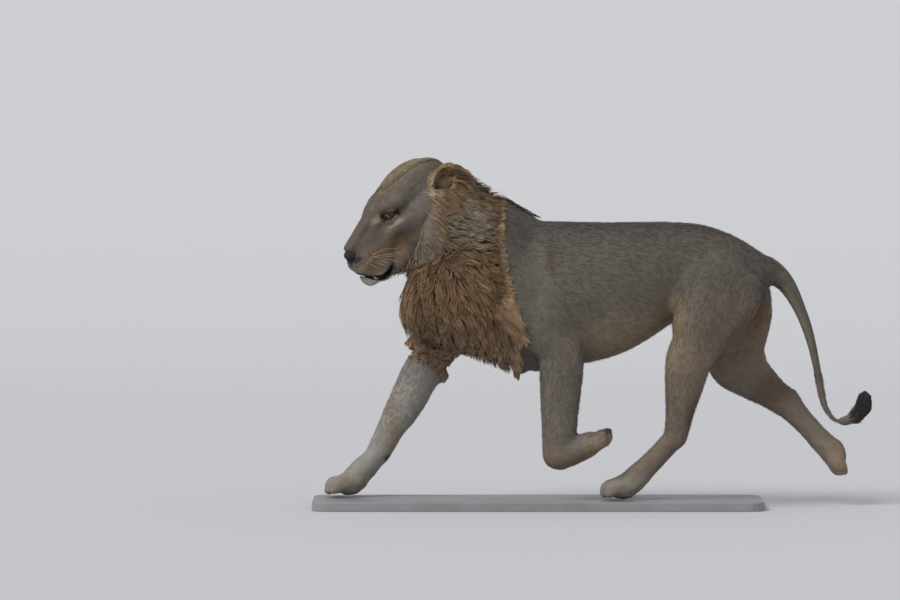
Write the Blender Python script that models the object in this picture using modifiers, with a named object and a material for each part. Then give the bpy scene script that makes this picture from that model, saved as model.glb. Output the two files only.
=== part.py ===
"""A young male lion in a fast trot, life size, as one still museum model on a flat display base.

Metres, +Z up. The lion faces -X and its left side is on -Y. The origin is under the middle of the
whole model, on the floor. The body is modelled whole, from lofts for the barrel, limbs, tail and
mane and from ellipsoids for the muscles, fused into one skin, and then parted with thin cuts.
"""
import math

import bmesh
import bpy
import numpy as np
from mathutils import Matrix, Vector

# Driving dimensions
BASE_THICK = 0.030
BASE_X = (-0.945, 0.555)
BASE_WIDTH = 0.46
BASE_CORNER = 0.06
GAP = 0.0006  # width of each parting cut
LEFT, RIGHT = -1, 1  # sides of the body, as the sign of Y

BARREL_VOXEL = 0.008
BARREL_SMOOTH = 26
BODY_VOXEL = 0.006
BODY_SMOOTH = 9
BODY_TRIANGLES = 3980
HEAD_VOXEL = 0.004
HEAD_SMOOTH = 9
HEAD_TRIANGLES = 2520
RING = 24  # points round a loft's section
STEPS = 4  # rings between two stations of a loft

HEAD_CENTRE = Vector((-0.604, -0.046, 1.050))  # middle of the brain case
HEAD_YAW = math.radians(18)  # towards the left side
HEAD_DROOP = math.radians(40)  # nose down
# Places on the head: forward along the skull, sideways, and out through its top
EYE_AT = (0.1255, 0.0590, 0.0165)
EYE_RADIUS = 0.0195
NOSE_AT = (0.301, 0, -0.013)
EAR_AT = (-0.0552, 0.096, -0.0283)
# The edge of the upper lip, forward and out, and how far the lower lip is below it
LIPS = ((0.234, -0.1225, 0.004), (0.248, -0.1265, 0.011), (0.275, -0.1260, 0.012), (0.296, -0.1100, 0.013),
        (0.310, -0.0965, 0.007), (0.327, -0.0750, 0.004), (0.352, -0.0420, 0.004))

COLOURS = {
    "coat": (0.150, 0.125, 0.098),
    "face": (0.165, 0.130, 0.095),
    "mane": (0.240, 0.135, 0.065),
    "tuft": (0.015, 0.013, 0.012),
    "paw": (0.210, 0.185, 0.150),
    "eye": (0.240, 0.130, 0.035),
    "nose": (0.030, 0.024, 0.022),
    "tooth": (0.750, 0.700, 0.600),
    "stand": (0.300, 0.290, 0.280),
}


# Helpers: meshes, lofts, ellipsoids, fusing and parting
def clear_scene():
    for item in list(bpy.data.objects):
        bpy.data.objects.remove(item, do_unlink=True)


def new_collection(name):
    made = bpy.data.collections.new(name)
    bpy.context.scene.collection.children.link(made)
    return made


def finish_of(name):
    found = bpy.data.materials.get(name)
    if found:
        return found
    made = bpy.data.materials.new(name)
    made.use_nodes = True
    shader = made.node_tree.nodes["Principled BSDF"]
    shader.inputs["Base Color"].default_value = (*COLOURS[name], 1.0)
    glossy = name in ("eye", "nose", "tooth")
    shader.inputs["Roughness"].default_value = 0.25 if glossy else 0.85
    shader.inputs["Metallic"].default_value = 0.0
    return made


def object_from(name, mesh, collection):
    made = bpy.data.objects.new(name, mesh)
    collection.objects.link(made)
    return made


def outward(shape):
    """The closed shape with its faces turned outward."""
    bmesh.ops.recalc_face_normals(shape, faces=shape.faces)
    if shape.calc_volume(signed=True) < 0:
        bmesh.ops.reverse_faces(shape, faces=shape.faces)
    return shape


def object_from_bmesh(name, shape, collection):
    mesh = bpy.data.meshes.new(name)
    shape.to_mesh(mesh)
    shape.free()
    return object_from(name, mesh, collection)


def smooth_path(values):
    """Catmull-Rom points through rows of numbers, STEPS to a span."""
    rows = np.array(values, float)
    padded = np.vstack([2 * rows[0] - rows[1], rows, 2 * rows[-1] - rows[-2]])
    made = []
    for i in range(1, len(padded) - 2):
        a, b, c, d = padded[i - 1 : i + 3]
        for t in np.arange(STEPS) / STEPS:
            made.append(0.5 * (2 * b + (c - a) * t + (2 * a - 5 * b + 4 * c - d) * t**2
                               + (3 * b - a - 3 * c + d) * t**3))
    made.append(rows[-1])
    return np.array(made)


def ringed(rows, power):
    """A closed tube of one ring for each row of centre, upward arm and sideways arm."""
    shape = bmesh.new()
    rings = []
    for centre, up, side in rows:
        ring = []
        for k in range(RING):
            angle = math.tau * k / RING
            c, s = math.cos(angle), math.sin(angle)
            reach = (abs(c) ** power + abs(s) ** power) ** (-1 / power)
            ring.append(shape.verts.new(centre + reach * (c * side + s * up)))
        rings.append(ring)
    for first, second in zip(rings, rings[1:]):
        for k in range(RING):
            n = (k + 1) % RING
            shape.faces.new((first[k], first[n], second[n], second[k]))
    for ring in (rings[0], rings[-1]):
        shape.faces.new(ring)
    return shape


def sleeve(stations, power=2.0):
    """A tube through stations (x, y, z, half depth, half width). Its sections are square to it: depth
    is measured in the body's upright plane and width sideways."""
    rows = smooth_path(stations)
    tangents = np.gradient(rows[:, :3], axis=0)
    made = []
    for row, tangent in zip(rows.tolist(), tangents.tolist()):
        along = Vector(tangent).normalized()
        side = (Vector((0, 1, 0)) - along.y * along).normalized()
        made.append((Vector(row[:3]), row[3] * along.cross(side), row[4] * side))
    return ringed(made, power)


def hull(stations, power=2.0):
    """A tube whose every section runs from a point of its upper outline to one of its lower outline:
    stations (x, z above, x, z below, y, half width)."""
    made = []
    for x_top, z_top, x_low, z_low, y, width in smooth_path(stations).tolist():
        top, low = Vector((x_top, y, z_top)), Vector((x_low, y, z_low))
        made.append(((top + low) / 2, (top - low) / 2, Vector((0, width, 0))))
    return ringed(made, power)


def mass(centre, radii, pitch=0.0, yaw=0.0):
    """An ellipsoid. Its radii are fore and aft, sideways and up; pitch lifts its front, in degrees."""
    shape = bmesh.new()
    turn = Matrix.Rotation(math.radians(yaw), 4, "Z") @ Matrix.Rotation(math.radians(pitch), 4, "Y")
    place = Matrix.Translation(centre) @ turn @ Matrix.Diagonal((*radii, 1.0))
    bmesh.ops.create_uvsphere(shape, u_segments=20, v_segments=14, radius=1.0, matrix=place)
    return shape


def joined(shapes):
    whole = bmesh.new()
    for shape in shapes:
        mesh = bpy.data.meshes.new("piece")
        outward(shape).to_mesh(mesh)
        shape.free()
        whole.from_mesh(mesh)
        bpy.data.meshes.remove(mesh)
    return whole


def applied(item):
    """The object with its modifiers made part of its mesh."""
    graph = bpy.context.evaluated_depsgraph_get()
    graph.update()
    mesh = bpy.data.meshes.new_from_object(item.evaluated_get(graph))
    item.modifiers.clear()
    old = item.data
    item.data = mesh
    bpy.data.meshes.remove(old)
    return item


def largest_shell(item):
    """The object without the small stray shells that fusing leaves inside it."""
    shape = bmesh.new()
    shape.from_mesh(item.data)
    left, shells = set(shape.verts), []
    while left:
        edge = [left.pop()]
        shell = set(edge)
        while edge:
            near = {link.other_vert(vert) for vert in edge for link in vert.link_edges} - shell
            shell |= near
            edge = list(near)
        left -= shell
        shells.append(shell)
    main = max(shells, key=len)
    bmesh.ops.delete(shape, geom=[vert for vert in shape.verts if vert not in main], context="VERTS")
    outward(shape).to_mesh(item.data)
    shape.free()
    return item


def fused(name, shapes, voxel, smoothing, collection):
    """One closed skin round all the shapes, with its creases softened."""
    item = object_from_bmesh(name, joined(shapes), collection)
    remesh = item.modifiers.new("skin", "REMESH")
    remesh.mode = "VOXEL"
    remesh.voxel_size = voxel
    soften = item.modifiers.new("soften", "SMOOTH")
    soften.factor = 0.5
    soften.iterations = smoothing
    return largest_shell(applied(item))


def thinned(item, triangles):
    thin = item.modifiers.new("thin", "DECIMATE")
    thin.ratio = triangles / (2 * len(item.data.polygons))
    return applied(item)


def taken(item):
    """The object's mesh as a shape to fuse with others; the object goes."""
    shape = bmesh.new()
    shape.from_mesh(item.data)
    bpy.data.objects.remove(item, do_unlink=True)
    return shape


def boolean(item, cutter, operation):
    step = item.modifiers.new(operation, "BOOLEAN")
    step.operation = operation
    step.object = cutter
    return applied(item)


def block(low, high, place=None):
    """A box between two corners of the frame that place gives, which is the model's own by default."""
    low, high = Vector(low), Vector(high)
    shape = bmesh.new()
    bmesh.ops.create_cube(shape, size=1.0)
    fit = Matrix.Translation((low + high) / 2) @ Matrix.Diagonal((*(high - low), 1.0))
    shape.transform((place or Matrix.Identity(4)) @ fit)
    return shape


def painted(item, finish):
    item.data.materials.clear()
    item.data.materials.append(finish_of(finish))
    return item


def mirrored(build):
    return [shape for side in (LEFT, RIGHT) for shape in build(side)]


# The barrel of the trunk, from the base of the neck to the pelvis: x, top, bottom, half width
TRUNK = (
    (-0.340, 0.902, 0.600, 0.080),
    (-0.270, 0.943, 0.510, 0.118),
    (-0.190, 0.960, 0.474, 0.140),
    (-0.100, 0.960, 0.470, 0.152),
    (0.000, 0.958, 0.484, 0.156),
    (0.085, 0.958, 0.510, 0.150),
    (0.165, 0.959, 0.552, 0.136),
    (0.240, 0.959, 0.602, 0.120),
    (0.320, 0.955, 0.640, 0.108),
    (0.400, 0.937, 0.665, 0.105),
    (0.475, 0.905, 0.690, 0.095),
    (0.545, 0.861, 0.710, 0.070),
    (0.585, 0.830, 0.735, 0.035),
)


def trunk_shapes():
    barrel = [(x, top, x, low, 0, width) for x, top, low, width in TRUNK]
    ribs = mass((-0.050, 0, 0.700), (0.210, 0.166, 0.195), 6)
    sternum = mass((-0.200, 0, 0.560), (0.150, 0.085, 0.110), 12)
    rump = mass((0.430, 0, 0.815), (0.130, 0.112, 0.090), 24)
    return [hull(barrel, 2.2), ribs, sternum, rump]


# The neck and the mane round it: x and z above, x and z below, y, half width of the mane's outside
MANE = (
    (-0.560, 1.110, -0.590, 0.880, -0.030, 0.105),
    (-0.520, 1.136, -0.610, 0.800, -0.028, 0.138),
    (-0.460, 1.136, -0.640, 0.745, -0.024, 0.162),
    (-0.400, 1.100, -0.656, 0.670, -0.016, 0.176),
    (-0.345, 1.060, -0.640, 0.600, -0.008, 0.180),
    (-0.290, 1.024, -0.550, 0.545, 0.000, 0.175),
    (-0.235, 0.992, -0.430, 0.505, 0.000, 0.160),
    (-0.190, 0.966, -0.325, 0.462, 0.000, 0.135),
    (-0.150, 0.935, -0.240, 0.436, 0.000, 0.095),
)


def mane_shapes():
    return [hull(MANE)]


# The fore legs. Joints: shoulder, elbow, wrist, knuckles and toe tips
FORE = {
    LEFT: dict(
        blade=(-0.165, -0.070, 0.900), shoulder=(-0.285, -0.118, 0.665), elbow=(-0.115, -0.128, 0.545),
        wrist=(-0.130, -0.122, 0.170), knuckles=(-0.030, -0.118, 0.212), tips=(0.040, -0.116, 0.236),
        sole=(-0.45, 0.0, 0.89), stout=1.0),
    RIGHT: dict(
        blade=(-0.205, 0.070, 0.895), shoulder=(-0.370, 0.118, 0.690), elbow=(-0.560, 0.115, 0.505),
        wrist=(-0.733, 0.095, 0.168), knuckles=(-0.820, 0.085, 0.082), tips=(-0.920, 0.083, 0.074),
        sole=(-0.06, 0.0, -1.0), stout=0.82),
}
# The hind legs. Joints: hip, knee, hock, knuckles and toe tips
HIND = {
    LEFT: dict(
        hip=(0.440, -0.085, 0.790), knee=(0.312, -0.140, 0.560), hock=(0.262, -0.105, 0.240),
        heel=(0.278, -0.102, 0.262), knuckles=(0.092, -0.080, 0.078), tips=(0.004, -0.078, 0.074),
        sole=(-0.10, 0.0, -1.0), stout=1.0),
    RIGHT: dict(
        hip=(0.455, 0.085, 0.785), knee=(0.425, 0.130, 0.505), hock=(0.652, 0.110, 0.332),
        heel=(0.660, 0.108, 0.372), knuckles=(0.794, 0.098, 0.178), tips=(0.812, 0.096, 0.108),
        sole=(0.94, 0.0, 0.20), stout=1.12),
}


def between(a, b, share, shift=(0, 0, 0)):
    return tuple(Vector(a).lerp(Vector(b), share) + Vector(shift))


def tube(points, sizes, power=2.0):
    return sleeve([(*point, *size) for point, size in zip(points, sizes)], power)


def paw(leg, width, length):
    """Palm, four toes and the pads under them, in the leg's own direction."""
    knuckles, tips = Vector(leg["knuckles"]), Vector(leg["tips"])
    ahead = (tips - knuckles).normalized()
    down = Vector(leg["sole"])
    down = (down - down.dot(ahead) * ahead).normalized()
    side = ahead.cross(down)
    axes = Matrix((ahead, side, -down)).transposed().to_4x4()

    def lump(forward, sideways, below, radii, splay=0.0, droop=0.0):
        centre = knuckles + forward * ahead + sideways * side + below * down
        turn = axes @ Matrix.Rotation(splay, 4, "Z") @ Matrix.Rotation(droop, 4, "Y")
        shape = bmesh.new()
        place = Matrix.Translation(centre) @ turn @ Matrix.Diagonal((*radii, 1.0))
        bmesh.ops.create_uvsphere(shape, u_segments=18, v_segments=12, radius=1.0, matrix=place)
        return shape

    lumps = [lump(-0.004, 0, 0.000, (0.058, width * 0.43, 0.040)),
             lump(0.004, 0, 0.026, (0.042, width * 0.36, 0.022))]
    for share, reach in ((-0.375, 0.030), (-0.135, 0.047), (0.135, 0.047), (0.375, 0.030)):
        across = share * width
        lumps.append(lump(reach * length, across, 0.004, (0.040, width * 0.155, 0.031), share * 0.5, 0.25))
        lumps.append(lump((reach + 0.020) * length, across * 1.04, 0.026, (0.022, width * 0.118, 0.015), share * 0.5))
    return lumps


def shoulder_shapes(side):
    """Shoulder blade, upper arm and the triceps that fills the corner between them."""
    leg = FORE[side]
    blade, shoulder, elbow, wrist = (leg[k] for k in ("blade", "shoulder", "elbow", "wrist"))
    scapula = tube((blade, between(blade, shoulder, 0.35), between(blade, shoulder, 0.75), shoulder),
                   ((0.060, 0.026), (0.100, 0.046), (0.095, 0.054), (0.070, 0.046)))
    upper = tube((between(shoulder, elbow, -0.15), between(shoulder, elbow, 0.35), between(shoulder, elbow, 0.75),
                  between(elbow, wrist, 0.08)),
                 ((0.062, 0.040), (0.092, 0.052), (0.086, 0.050), (0.070, 0.046)))
    back = Vector(elbow).lerp(Vector(blade), 0.45)
    triceps = mass(back + Vector((0.015, side * 0.030, -0.010)), (0.078, 0.036, 0.120), 14)
    return [scapula, upper, triceps]


def sized(stations, stout):
    return [(depth * stout, width * stout) for depth, width in stations]


def fore_leg(side):
    leg = FORE[side]
    elbow, wrist, knuckles, stout = (leg[k] for k in ("elbow", "wrist", "knuckles", "stout"))
    fore = tube([between(elbow, wrist, share) for share in (-0.08, 0.12, 0.35, 0.62, 0.86, 1.02)],
                sized(((0.060, 0.044), (0.078, 0.054), (0.075, 0.053), (0.066, 0.048), (0.059, 0.045),
                       (0.056, 0.044)), stout))
    carpus = mass(between(elbow, wrist, 0.97), [size * stout for size in (0.056, 0.048, 0.054)])
    pastern = tube([between(wrist, knuckles, share) for share in (-0.05, 0.5, 1.05)],
                   ((0.048 * stout, 0.044), (0.045, 0.047), (0.042, 0.052)))
    point = mass(between(elbow, wrist, 0.0, (0.026 * stout, 0, 0.0)), (0.044, 0.034, 0.050))
    shapes = [fore, carpus, pastern, point] + paw(leg, 0.132, 1.12)
    if side == RIGHT:  # the bent forearm's muscle, and the long hair behind the elbow
        belly = ((-0.548, 0.110, 0.508), (-0.604, 0.106, 0.395), (-0.648, 0.103, 0.310), (-0.704, 0.098, 0.225))
        shapes.append(tube(belly, ((0.060, 0.046), (0.063, 0.048), (0.055, 0.044), (0.036, 0.034))))
        hair = [between(elbow, wrist, share, (behind, 0, 0))
                for share, behind in ((0.02, 0.050), (0.15, 0.076), (0.29, 0.092))]
        shapes.append(tube(hair, ((0.042, 0.026), (0.030, 0.022), (0.018, 0.016))))
    return shapes


def thigh_shapes(side):
    """The thigh's front and the hamstring behind it, down to the calf."""
    leg = HIND[side]
    hip, knee, hock = (leg[k] for k in ("hip", "knee", "hock"))
    thigh = tube([between(hip, knee, share) for share in (-0.18, 0.15, 0.5, 0.85)] + [between(knee, hock, 0.05)],
                 ((0.070, 0.040), (0.112, 0.066), (0.118, 0.074), (0.096, 0.064), (0.070, 0.050)), 2.1)
    ham = tube((between(hip, knee, 0.0, (0.062, 0, -0.010)), between(hip, knee, 0.45, (0.088, 0, -0.010)),
                between(knee, hock, 0.10, (0.060, 0, 0.020)), between(knee, hock, 0.42, (0.026, 0, 0.008))),
               ((0.062, 0.050), (0.070, 0.056), (0.060, 0.046), (0.040, 0.036)))
    if side == LEFT:
        return [thigh, ham]
    return [thigh, ham, tube(((0.500, 0.110, 0.545), (0.560, 0.118, 0.470)), ((0.042, 0.036), (0.032, 0.030)))]


def hind_leg(side):
    leg = HIND[side]
    knee, hock, heel, knuckles, stout = (leg[k] for k in ("knee", "hock", "heel", "knuckles", "stout"))
    shank = tube([between(knee, hock, share) for share in (-0.05, 0.18, 0.45, 0.75, 1.0)],
                 sized(((0.064, 0.050), (0.080, 0.054), (0.070, 0.048), (0.052, 0.040), (0.044, 0.036)), stout))
    tendon = tube((between(knee, hock, 0.50, tuple(0.35 * (Vector(heel) - Vector(hock)))), heel),
                  ((0.034, 0.026), (0.023, 0.023)))
    calcaneus = mass(heel, (0.026, 0.024, 0.027))
    ankle = mass(hock, [size * stout for size in (0.044, 0.038, 0.044)])
    cannon = tube([between(hock, knuckles, share) for share in (0.0, 0.35, 0.75, 1.05)],
                  sized(((0.042, 0.036), (0.037, 0.035), (0.036, 0.040), (0.037, 0.046)), stout))
    shapes = [shank, tendon, calcaneus, ankle, cannon] + paw(leg, 0.120, 1.0)
    if side == LEFT:  # the foot's long bones carry the weight, and the pad behind them is pressed out
        shapes.append(tube(((0.256, -0.103, 0.228), (0.190, -0.093, 0.155), (0.124, -0.084, 0.084)),
                           ((0.034, 0.032), (0.034, 0.034), (0.034, 0.040))))
    return shapes


# The tail: x, y, z, radius; the last four stations are the tuft
TAIL = (
    (0.480, 0.000, 0.812, 0.052), (0.560, 0.000, 0.802, 0.046), (0.624, 0.002, 0.760, 0.037),
    (0.672, 0.004, 0.679, 0.0275), (0.707, 0.006, 0.590, 0.0230), (0.730, 0.008, 0.500, 0.0200),
    (0.748, 0.011, 0.405, 0.0190), (0.763, 0.013, 0.338, 0.0170), (0.795, 0.015, 0.292, 0.0150),
    (0.834, 0.017, 0.288, 0.0165), (0.868, 0.018, 0.303, 0.0215), (0.892, 0.018, 0.333, 0.0250),
    (0.897, 0.018, 0.362, 0.0235), (0.894, 0.018, 0.384, 0.0140),
)


def tail_shapes():
    return [sleeve([(x, y, z, radius, radius) for x, y, z, radius in TAIL])]


# The head, in the skull's own frame: forward, sideways and out through the top, with the nose level
SKULL = (  # forward, top, bottom, half width
    (-0.125, 0.040, -0.090, 0.055),
    (-0.090, 0.076, -0.125, 0.076),
    (-0.045, 0.092, -0.138, 0.088),
    (0.005, 0.098, -0.136, 0.092),
    (0.055, 0.098, -0.130, 0.090),
    (0.100, 0.093, -0.124, 0.082),
    (0.140, 0.079, -0.118, 0.064),
    (0.180, 0.060, -0.111, 0.052),
    (0.220, 0.045, -0.101, 0.051),
    (0.260, 0.032, -0.086, 0.053),
    (0.292, 0.018, -0.070, 0.050),
    (0.314, -0.002, -0.054, 0.036),
)
JAW = (
    (0.010, -0.070, -0.165, 0.074),
    (0.090, -0.090, -0.176, 0.064),
    (0.170, -0.100, -0.170, 0.053),
    (0.240, -0.104, -0.152, 0.046),
    (0.290, -0.088, -0.146, 0.041),
    (0.317, -0.082, -0.134, 0.031),
)


def skull_hull(rows, power):
    return hull([(-ahead, top, -ahead, low, 0, width) for ahead, top, low, width in rows], power)


def skull_mass(ahead, sideways, out, radii, pitch=0.0, yaw=0.0):
    return mass((-ahead, sideways, out), radii, pitch, yaw)


def skull_tube(points, sizes, power=2.0):
    return tube([(-ahead, sideways, out) for ahead, sideways, out in points], sizes, power)


def head_shapes():
    middle = [
        skull_hull(SKULL, 2.5),
        skull_hull(JAW, 2.4),
        skull_mass(0.296, 0, -0.110, (0.032, 0.040, 0.033)),
        skull_tube(((0.100, 0, 0.048), (0.150, 0, 0.046), (0.210, 0, 0.026), (0.265, 0, 0.008), (0.300, 0, -0.010)),
                   ((0.020, 0.036), (0.022, 0.040), (0.020, 0.038), (0.020, 0.038), (0.018, 0.037)), 2.6),
        skull_tube(((0.060, 0, 0.074), (0.000, 0, 0.073), (-0.060, 0, 0.054), (-0.110, 0, 0.030)),
                   ((0.024, 0.046), (0.030, 0.056), (0.034, 0.058), (0.030, 0.052))),
    ]

    def one_side(side):
        whisker_pad = [
            skull_mass(0.268, side * 0.041, -0.046, (0.052, 0.034, 0.038), 0, side * -6),
            skull_mass(0.301, side * 0.026, -0.052, (0.027, 0.027, 0.027)),
            skull_mass(0.284, side * 0.039, -0.080, (0.034, 0.026, 0.030)),
            skull_mass(0.257, side * 0.043, -0.096, (0.036, 0.022, 0.029)),
            skull_mass(0.236, side * 0.042, -0.074, (0.056, 0.024, 0.036), 22, side * 6),
        ]
        cheek = [
            skull_mass(0.196, side * 0.030, -0.034, (0.072, 0.034, 0.050)),
            skull_mass(0.120, side * 0.046, -0.075, (0.110, 0.040, 0.062), 0, side * 12),
            skull_mass(0.035, side * 0.064, -0.085, (0.100, 0.044, 0.078)),
            skull_mass(-0.035, side * 0.076, -0.090, (0.085, 0.054, 0.102), 0, side * 8),
            skull_mass(-0.040, side * 0.096, -0.110, (0.085, 0.050, 0.085)),
            skull_tube(((0.172, side * 0.050, -0.032), (0.150, side * 0.060, -0.035), (0.108, side * 0.084, -0.038),
                        (0.040, side * 0.098, -0.040), (-0.060, side * 0.088, -0.036)),
                       ((0.010, 0.010), (0.018, 0.017), (0.022, 0.021), (0.026, 0.025), (0.028, 0.026))),
        ]
        brow = [
            skull_tube(((0.176, side * 0.016, 0.044), (0.156, side * 0.028, 0.047), (0.121, side * 0.061, 0.047),
                        (0.090, side * 0.074, 0.040), (0.060, side * 0.080, 0.030)),
                       ((0.010, 0.012), (0.015, 0.016), (0.0155, 0.017), (0.016, 0.017), (0.014, 0.014))),
            skull_mass(0.010, side * 0.050, 0.034, (0.105, 0.042, 0.060), 0, side * 6),
        ]
        return whisker_pad + cheek + brow

    return middle + mirrored(one_side)


def head_place():
    turn = Matrix.Rotation(HEAD_YAW, 4, "Z") @ Matrix.Rotation(-HEAD_DROOP, 4, "Y")
    return Matrix.Translation(HEAD_CENTRE) @ turn


def on_head(shapes):
    for shape in shapes:
        shape.transform(head_place())
    return shapes


def grown_ball(ahead, sideways, out, radius, segments):
    shape = bmesh.new()
    bmesh.ops.create_uvsphere(shape, u_segments=segments, v_segments=segments * 5 // 8, radius=radius)
    shape.transform(head_place() @ Matrix.Translation((-ahead, sideways, out)))
    return shape


def eye_shape(side, grow):
    return grown_ball(EYE_AT[0], side * EYE_AT[1], EYE_AT[2], EYE_RADIUS + grow, 14)


def nose_shape(grow):
    """The leather of the nose: a rounded wedge, wide at the top and narrow at the lip."""
    shape = bmesh.new()
    bmesh.ops.create_cube(shape, size=1.0)
    for vert in shape.verts:
        above, front = vert.co.z > 0, vert.co.x < 0
        width = (0.104 if above else 0.056) - (0.014 if front else 0)
        depth = 0.064 if above or not front else 0.040
        sizes = (depth + 2 * grow, width + 2 * grow, 0.060 + 2 * grow)
        vert.co = Vector(value * size for value, size in zip(vert.co, sizes))
    cage = object_from_bmesh("cage", shape, helpers)
    rounder = cage.modifiers.new("rounder", "SUBSURF")
    rounder.levels = rounder.render_levels = 2
    shape = taken(applied(cage))
    shape.transform(head_place() @ Matrix.Translation((-NOSE_AT[0], 0, NOSE_AT[2])))
    return shape


def egg(radii, centre, place, segments):
    shape = bmesh.new()
    bmesh.ops.create_uvsphere(shape, u_segments=segments, v_segments=segments * 2 // 3, radius=1.0)
    shape.transform(place @ Matrix.Translation(centre) @ Matrix.Diagonal((*radii, 1.0)))
    return shape


def ear_shape(side, grow):
    """A rounded, cupped ear, leaning out and back: an egg with a second egg scooped out of its open side."""
    lean = Matrix.Rotation(side * math.radians(-26), 4, "X") @ Matrix.Rotation(math.radians(58), 4, "Y")
    place = head_place() @ Matrix.Translation((-EAR_AT[0], side * EAR_AT[1], EAR_AT[2])) @ lean
    place = place @ Matrix.Translation((0, 0, 0.030)) @ Matrix.Rotation(side * math.radians(34), 4, "Z")
    whole = egg((0.046 + grow, 0.027 + grow, 0.058 + grow), (0, 0, 0), place, 15)
    if grow:
        return whole
    shell = object_from_bmesh("shell", whole, helpers)
    scoop = object_from_bmesh("scoop", egg((0.037, 0.026, 0.047), (-0.004, side * 0.017, 0.004), place, 12), helpers)
    boolean(shell, scoop, "DIFFERENCE")
    bpy.data.objects.remove(scoop, do_unlink=True)
    return taken(shell)


def mouth_shape(grow):
    """The gap between the lips, from the corners of the mouth forward."""
    shape = bmesh.new()
    above = [Vector((-ahead, 0, out + grow)) for ahead, out, _ in LIPS]
    below = [Vector((-ahead, 0, out - gap - grow)) for ahead, out, gap in LIPS]
    rings = [[[shape.verts.new(point + Vector((0, y, 0))) for point in row] for row in (above, below)]
             for y in (-0.09, 0.09)]
    (left_above, left_below), (right_above, right_below) = rings
    for k in range(len(LIPS) - 1):
        shape.faces.new((left_above[k], left_above[k + 1], right_above[k + 1], right_above[k]))
        shape.faces.new((left_below[k], right_below[k], right_below[k + 1], left_below[k + 1]))
        for upper, lower in rings:
            shape.faces.new((upper[k], upper[k + 1], lower[k + 1], lower[k]))
    for k in (0, -1):
        shape.faces.new((left_above[k], left_below[k], right_below[k], right_above[k]))
    shape.transform(head_place())
    return shape


def tooth_shape(side, grow):
    """One lower canine, its root in the jaw."""
    shape = bmesh.new()
    bmesh.ops.create_cone(shape, cap_ends=True, segments=12, radius1=0.0058 + grow, radius2=0.0016 + grow,
                          depth=0.026 + 2 * grow)
    lean = Matrix.Rotation(math.radians(-10), 4, "Y") @ Matrix.Rotation(side * math.radians(-8), 4, "X")
    shape.transform(head_place() @ Matrix.Translation((-0.2935, side * 0.0310, -0.1200)) @ lean)
    return shape


def plate_shape():
    """The display base: a plain plate with round corners and softened edges."""
    x0, x1 = BASE_X
    half = BASE_WIDTH / 2
    corners = ((x0, -half, 180), (x1, -half, 270), (x1, half, 0), (x0, half, 90))
    shape = bmesh.new()
    outline = []
    for x, y, start in corners:
        middle = Vector((x + BASE_CORNER * (1 if x == x0 else -1), y - math.copysign(BASE_CORNER, y), 0))
        for step in range(6):
            angle = math.radians(start + 90 * step / 5)
            outline.append(middle + BASE_CORNER * Vector((math.cos(angle), math.sin(angle), 0)))
    centre = Vector(((x0 + x1) / 2, 0, 0))
    rings = []
    for height, inset in ((0, 0.002), (0.002, 0), (BASE_THICK - 0.003, 0), (BASE_THICK, 0.003)):
        ring = []
        for point in outline:
            inward = Vector((math.copysign(inset, centre.x - point.x), math.copysign(inset, -point.y), 0))
            ring.append(shape.verts.new(point + inward + Vector((0, 0, height))))
        rings.append(ring)
    for first, second in zip(rings, rings[1:]):
        for k in range(len(first)):
            n = (k + 1) % len(first)
            shape.faces.new((first[k], first[n], second[n], second[k]))
    for ring in (rings[0], rings[-1]):
        shape.faces.new(ring)
    return shape


def carved(item, shape):
    """Takes the shape's volume out of the object."""
    cutter = object_from_bmesh("cutter", outward(shape), helpers)
    boolean(item, cutter, "DIFFERENCE")
    bpy.data.objects.remove(cutter, do_unlink=True)
    return item


def kept(item, shape):
    """Leaves only what lies in the shape's volume."""
    cutter = object_from_bmesh("cutter", outward(shape), helpers)
    boolean(item, cutter, "INTERSECT")
    bpy.data.objects.remove(cutter, do_unlink=True)
    return item


def part_off(body, name, cut, finish):
    """Takes the piece inside the cut off the body, as its own node, and leaves a thin gap. The cut is
    a function from how much to grow it to its shape."""
    piece = kept(object_from(name, body.data.copy(), lion), cut(0.0))
    carved(body, cut(GAP))
    return painted(piece, finish)


def limb_cut(joint, end, share, reach):
    """A box from the plane square to the limb at a share of the way from one joint to the next."""
    turn = (Vector(end) - Vector(joint)).to_track_quat("Z", "Y").to_matrix().to_4x4()
    place = Matrix.Translation(between(joint, end, share)) @ turn

    def cut(grow):
        low, high = Vector((-reach, -reach, 0)), Vector((reach, reach, 0.60))
        return block(low - Vector((grow,) * 3), high + Vector((grow,) * 3), place)
    return cut


def box_cut(low, high):
    def cut(grow):
        return block(Vector(low) - Vector((grow,) * 3), Vector(high) + Vector((grow,) * 3))
    return cut


def slab_cut(outline, y0, y1):
    """A flat outline of x and z, carried from y0 to y1."""
    middle = [sum(values) / len(outline) for values in zip(*outline)]

    def cut(grow):
        shape = bmesh.new()
        grown = [[value + math.copysign(grow, value - mean) for value, mean in zip(point, middle)]
                 for point in outline]
        rings = [[shape.verts.new((x, y, z)) for x, z in grown] for y in (y0, y1)]
        for k in range(len(outline)):
            n = (k + 1) % len(outline)
            shape.faces.new((rings[0][k], rings[0][n], rings[1][n], rings[1][k]))
        for ring in rings:
            shape.faces.new(ring)
        return shape
    return cut


# Outlines, in x and z, of what is parted off as the head and as each hind leg
FACE_OUTLINE = ((-0.4575, 1.300), (-0.656, 0.732), (-1.0, 0.732), (-1.0, 1.300))
HIND_OUTLINE = ((0.232, 0.583), (1.0, 0.583), (1.0, 0.0), (-0.05, 0.0), (-0.05, 0.150), (0.11, 0.165), (0.190, 0.32))

clear_scene()
lion = new_collection("lion")
helpers = new_collection("helpers")
names = {LEFT: "left", RIGHT: "right"}

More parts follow.
